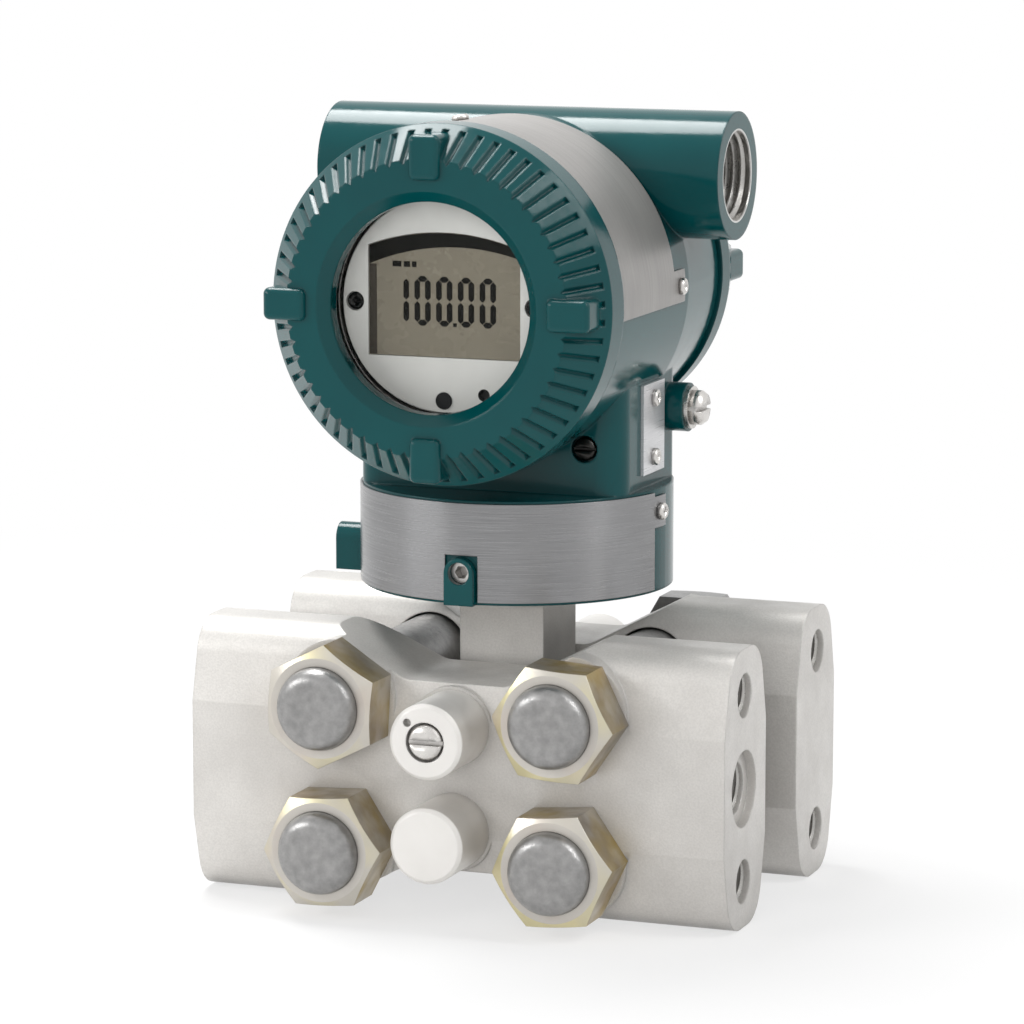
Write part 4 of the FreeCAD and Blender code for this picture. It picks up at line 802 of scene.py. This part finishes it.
def drive_screws(node, outward, kind):
    """Screws with driver recesses, standing for a CAD node."""
    solid = bmesh.new()
    solid.from_mesh(NODES[node].data)
    bmesh.ops.remove_doubles(solid, verts=solid.verts, dist=WELD)
    cutter = bmesh.new()
    for found in islands(solid):
        middle = sum((vertex.co for vertex in found), Vector()) / len(found)
        out = outward(middle)
        heights = [(vertex.co - middle).dot(out) for vertex in found]
        radius = max((vertex.co - middle - out * height).length for vertex, height in zip(found, heights))
        add_recess(cutter, middle + out * max(heights), out, radius, kind)
    name = f"{node}_driven"
    made = piece(name, mesh_of(name, solid), material_of(node), BODIES[node], SLOTS[node])
    made.data = smooth(carved(made, mesh_of("cutter", cutter)))
    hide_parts(node)


def carved(made, cutter_mesh):
    """A piece's mesh with a cutter's shape taken out of it."""
    cutter = add_object("cutter", cutter_mesh)
    difference = made.modifiers.new("recess", "BOOLEAN")
    difference.operation = "DIFFERENCE"
    difference.solver = "EXACT"
    difference.object = cutter
    result = bpy.data.meshes.new_from_object(made.evaluated_get(bpy.context.evaluated_depsgraph_get()))
    made.modifiers.clear()
    bpy.data.objects.remove(cutter)
    bpy.data.meshes.remove(cutter_mesh)
    return result


# Stage, in metres

WHITE = (1.0, 1.0, 1.0, 1.0)
FLOOR_COLOUR = (0.86, 0.86, 0.86, 1.0)
FLOOR_SIZE = 12.0
FLOOR_DROP = 0.0002
# Distances from the middle at which the floor starts to fade into white and is white
FADE_START = 0.1
FADE_END = 0.5
# Share of white in the floor under the object
FADE_LEAST = 0.66
# Light from all round, where white is 1
AMBIENT = 0.22
LAMP_TARGET = (0.0, 0.0, 0.09)


def stage_floor():
    """Pale floor that renders white and keeps the object's shadow."""
    bm = bmesh.new()
    bmesh.ops.create_grid(bm, x_segments=1, y_segments=1, size=FLOOR_SIZE / 2)
    floor = add_object("floor", mesh_of("floor", bm))
    floor.location.z = -FLOOR_DROP
    floor.data.materials.append(pale_floor())


def pale_floor():
    """Matt pale material, seen with a share of plain white that rises with distance from the object."""
    surface = Surface("pale_floor")
    surface.set(Base_Color=FLOOR_COLOUR, Roughness=0.9, Specular_IOR_Level=0.1)
    glow = surface.node("ShaderNodeEmission")
    glow.inputs["Color"].default_value = WHITE
    distance = surface.node("ShaderNodeVectorMath", operation="LENGTH")
    surface.link(surface.coordinates, distance.inputs[0])
    fade = surface.spread(distance.outputs["Value"], FADE_LEAST, 1.0, FADE_START, FADE_END)
    blend = surface.node("ShaderNodeMixShader")
    surface.link(surface.math("MULTIPLY", seen_directly(surface.tree), fade), blend.inputs["Fac"])
    surface.link(surface.shader.outputs["BSDF"], blend.inputs[1])
    surface.link(glow.outputs["Emission"], blend.inputs[2])
    surface.link(blend.outputs["Shader"], node_of(surface.tree, "OUTPUT_MATERIAL").inputs["Surface"])
    return surface.material


def seen_directly(tree):
    """1 for camera, glossy and transmission rays, 0 for the rays that only light things."""
    path = tree.nodes.new("ShaderNodeLightPath")
    total = path.outputs["Is Camera Ray"]
    for name in ("Is Glossy Ray", "Is Transmission Ray"):
        either = tree.nodes.new("ShaderNodeMath")
        either.operation = "MAXIMUM"
        tree.links.new(total, either.inputs[0])
        tree.links.new(path.outputs[name], either.inputs[1])
        total = either.outputs["Value"]
    return total


def stage_world():
    """White surround that lights the object softly."""
    world = bpy.data.worlds.new("studio")
    bpy.context.scene.world = world
    world.use_nodes = True
    tree = world.node_tree
    background = node_of(tree, "BACKGROUND")
    background.inputs["Color"].default_value = WHITE
    strength = tree.nodes.new("ShaderNodeMapRange")
    strength.inputs["To Min"].default_value = AMBIENT
    strength.inputs["To Max"].default_value = 1.0
    tree.links.new(seen_directly(tree), strength.inputs["Value"])
    tree.links.new(strength.outputs["Result"], background.inputs["Strength"])


def bearing(azimuth, elevation):
    """Direction from the object to a lamp or camera, from angles in degrees."""
    turn = math.radians(azimuth)
    rise = math.radians(elevation)
    return Vector((math.sin(turn) * math.cos(rise), -math.cos(turn) * math.cos(rise), math.sin(rise)))


def face_object(made, back):
    """Turn a lamp or camera towards the object that it stands back from."""
    made.rotation_mode = "QUATERNION"
    made.rotation_quaternion = (-back).to_track_quat("-Z", "Y")


def softbox(name, azimuth, elevation, distance, wide, high, radiance):
    """Rectangular lamp at a bearing round the object, facing it."""
    lamp = bpy.data.lights.new(name, "AREA")
    lamp.shape = "RECTANGLE"
    lamp.size = wide
    lamp.size_y = high
    lamp.energy = radiance * math.pi * wide * high
    made = add_object(name, lamp)
    back = bearing(azimuth, elevation)
    made.location = Vector(LAMP_TARGET) + back * distance
    face_object(made, back)
    return made


def stage_lights():
    """Lamps over the object, at its left, in front of it and at its right."""
    softbox("top_light", azimuth=-118.0, elevation=68.0, distance=0.9, wide=0.4, high=0.4, radiance=17.0)
    softbox("front_light", azimuth=-52.0, elevation=23.0, distance=1.1, wide=0.6, high=0.26, radiance=7.6)
    fill = softbox("fill_light", azimuth=10.0, elevation=16.0, distance=1.6, wide=1.1, high=0.8,
                   radiance=3.3)
    # Metal and gloss paint don't mirror the fill, so that their dark parts stay dark
    fill.visible_glossy = False
    softbox("rim_light", azimuth=86.0, elevation=44.0, distance=1.1, wide=0.2, high=0.7, radiance=9.5)


def stage_camera():
    """Camera at the photograph's viewing angle."""
    camera = add_object("camera", bpy.data.cameras.new("camera"))
    camera.data.sensor_width = SENSOR_WIDTH
    camera.data.lens = SENSOR_WIDTH * FOCAL_PIXELS / FRAME_PIXELS
    back = bearing(VIEW_AZIMUTH, VIEW_ELEVATION)
    camera.location = (Vector(VIEW_TARGET) + back * VIEW_DISTANCE) * MM
    face_object(camera, back)
    bpy.context.scene.camera = camera


dress_nodes()
lcd_ink()
lcd_shadow()
threads()
for node_name, screw_outward, recess_kind in DRIVEN:
    drive_screws(node_name, screw_outward, recess_kind)
stage_floor()
stage_world()
stage_lights()
stage_camera()
bpy.context.scene.view_settings.view_transform = "Standard"
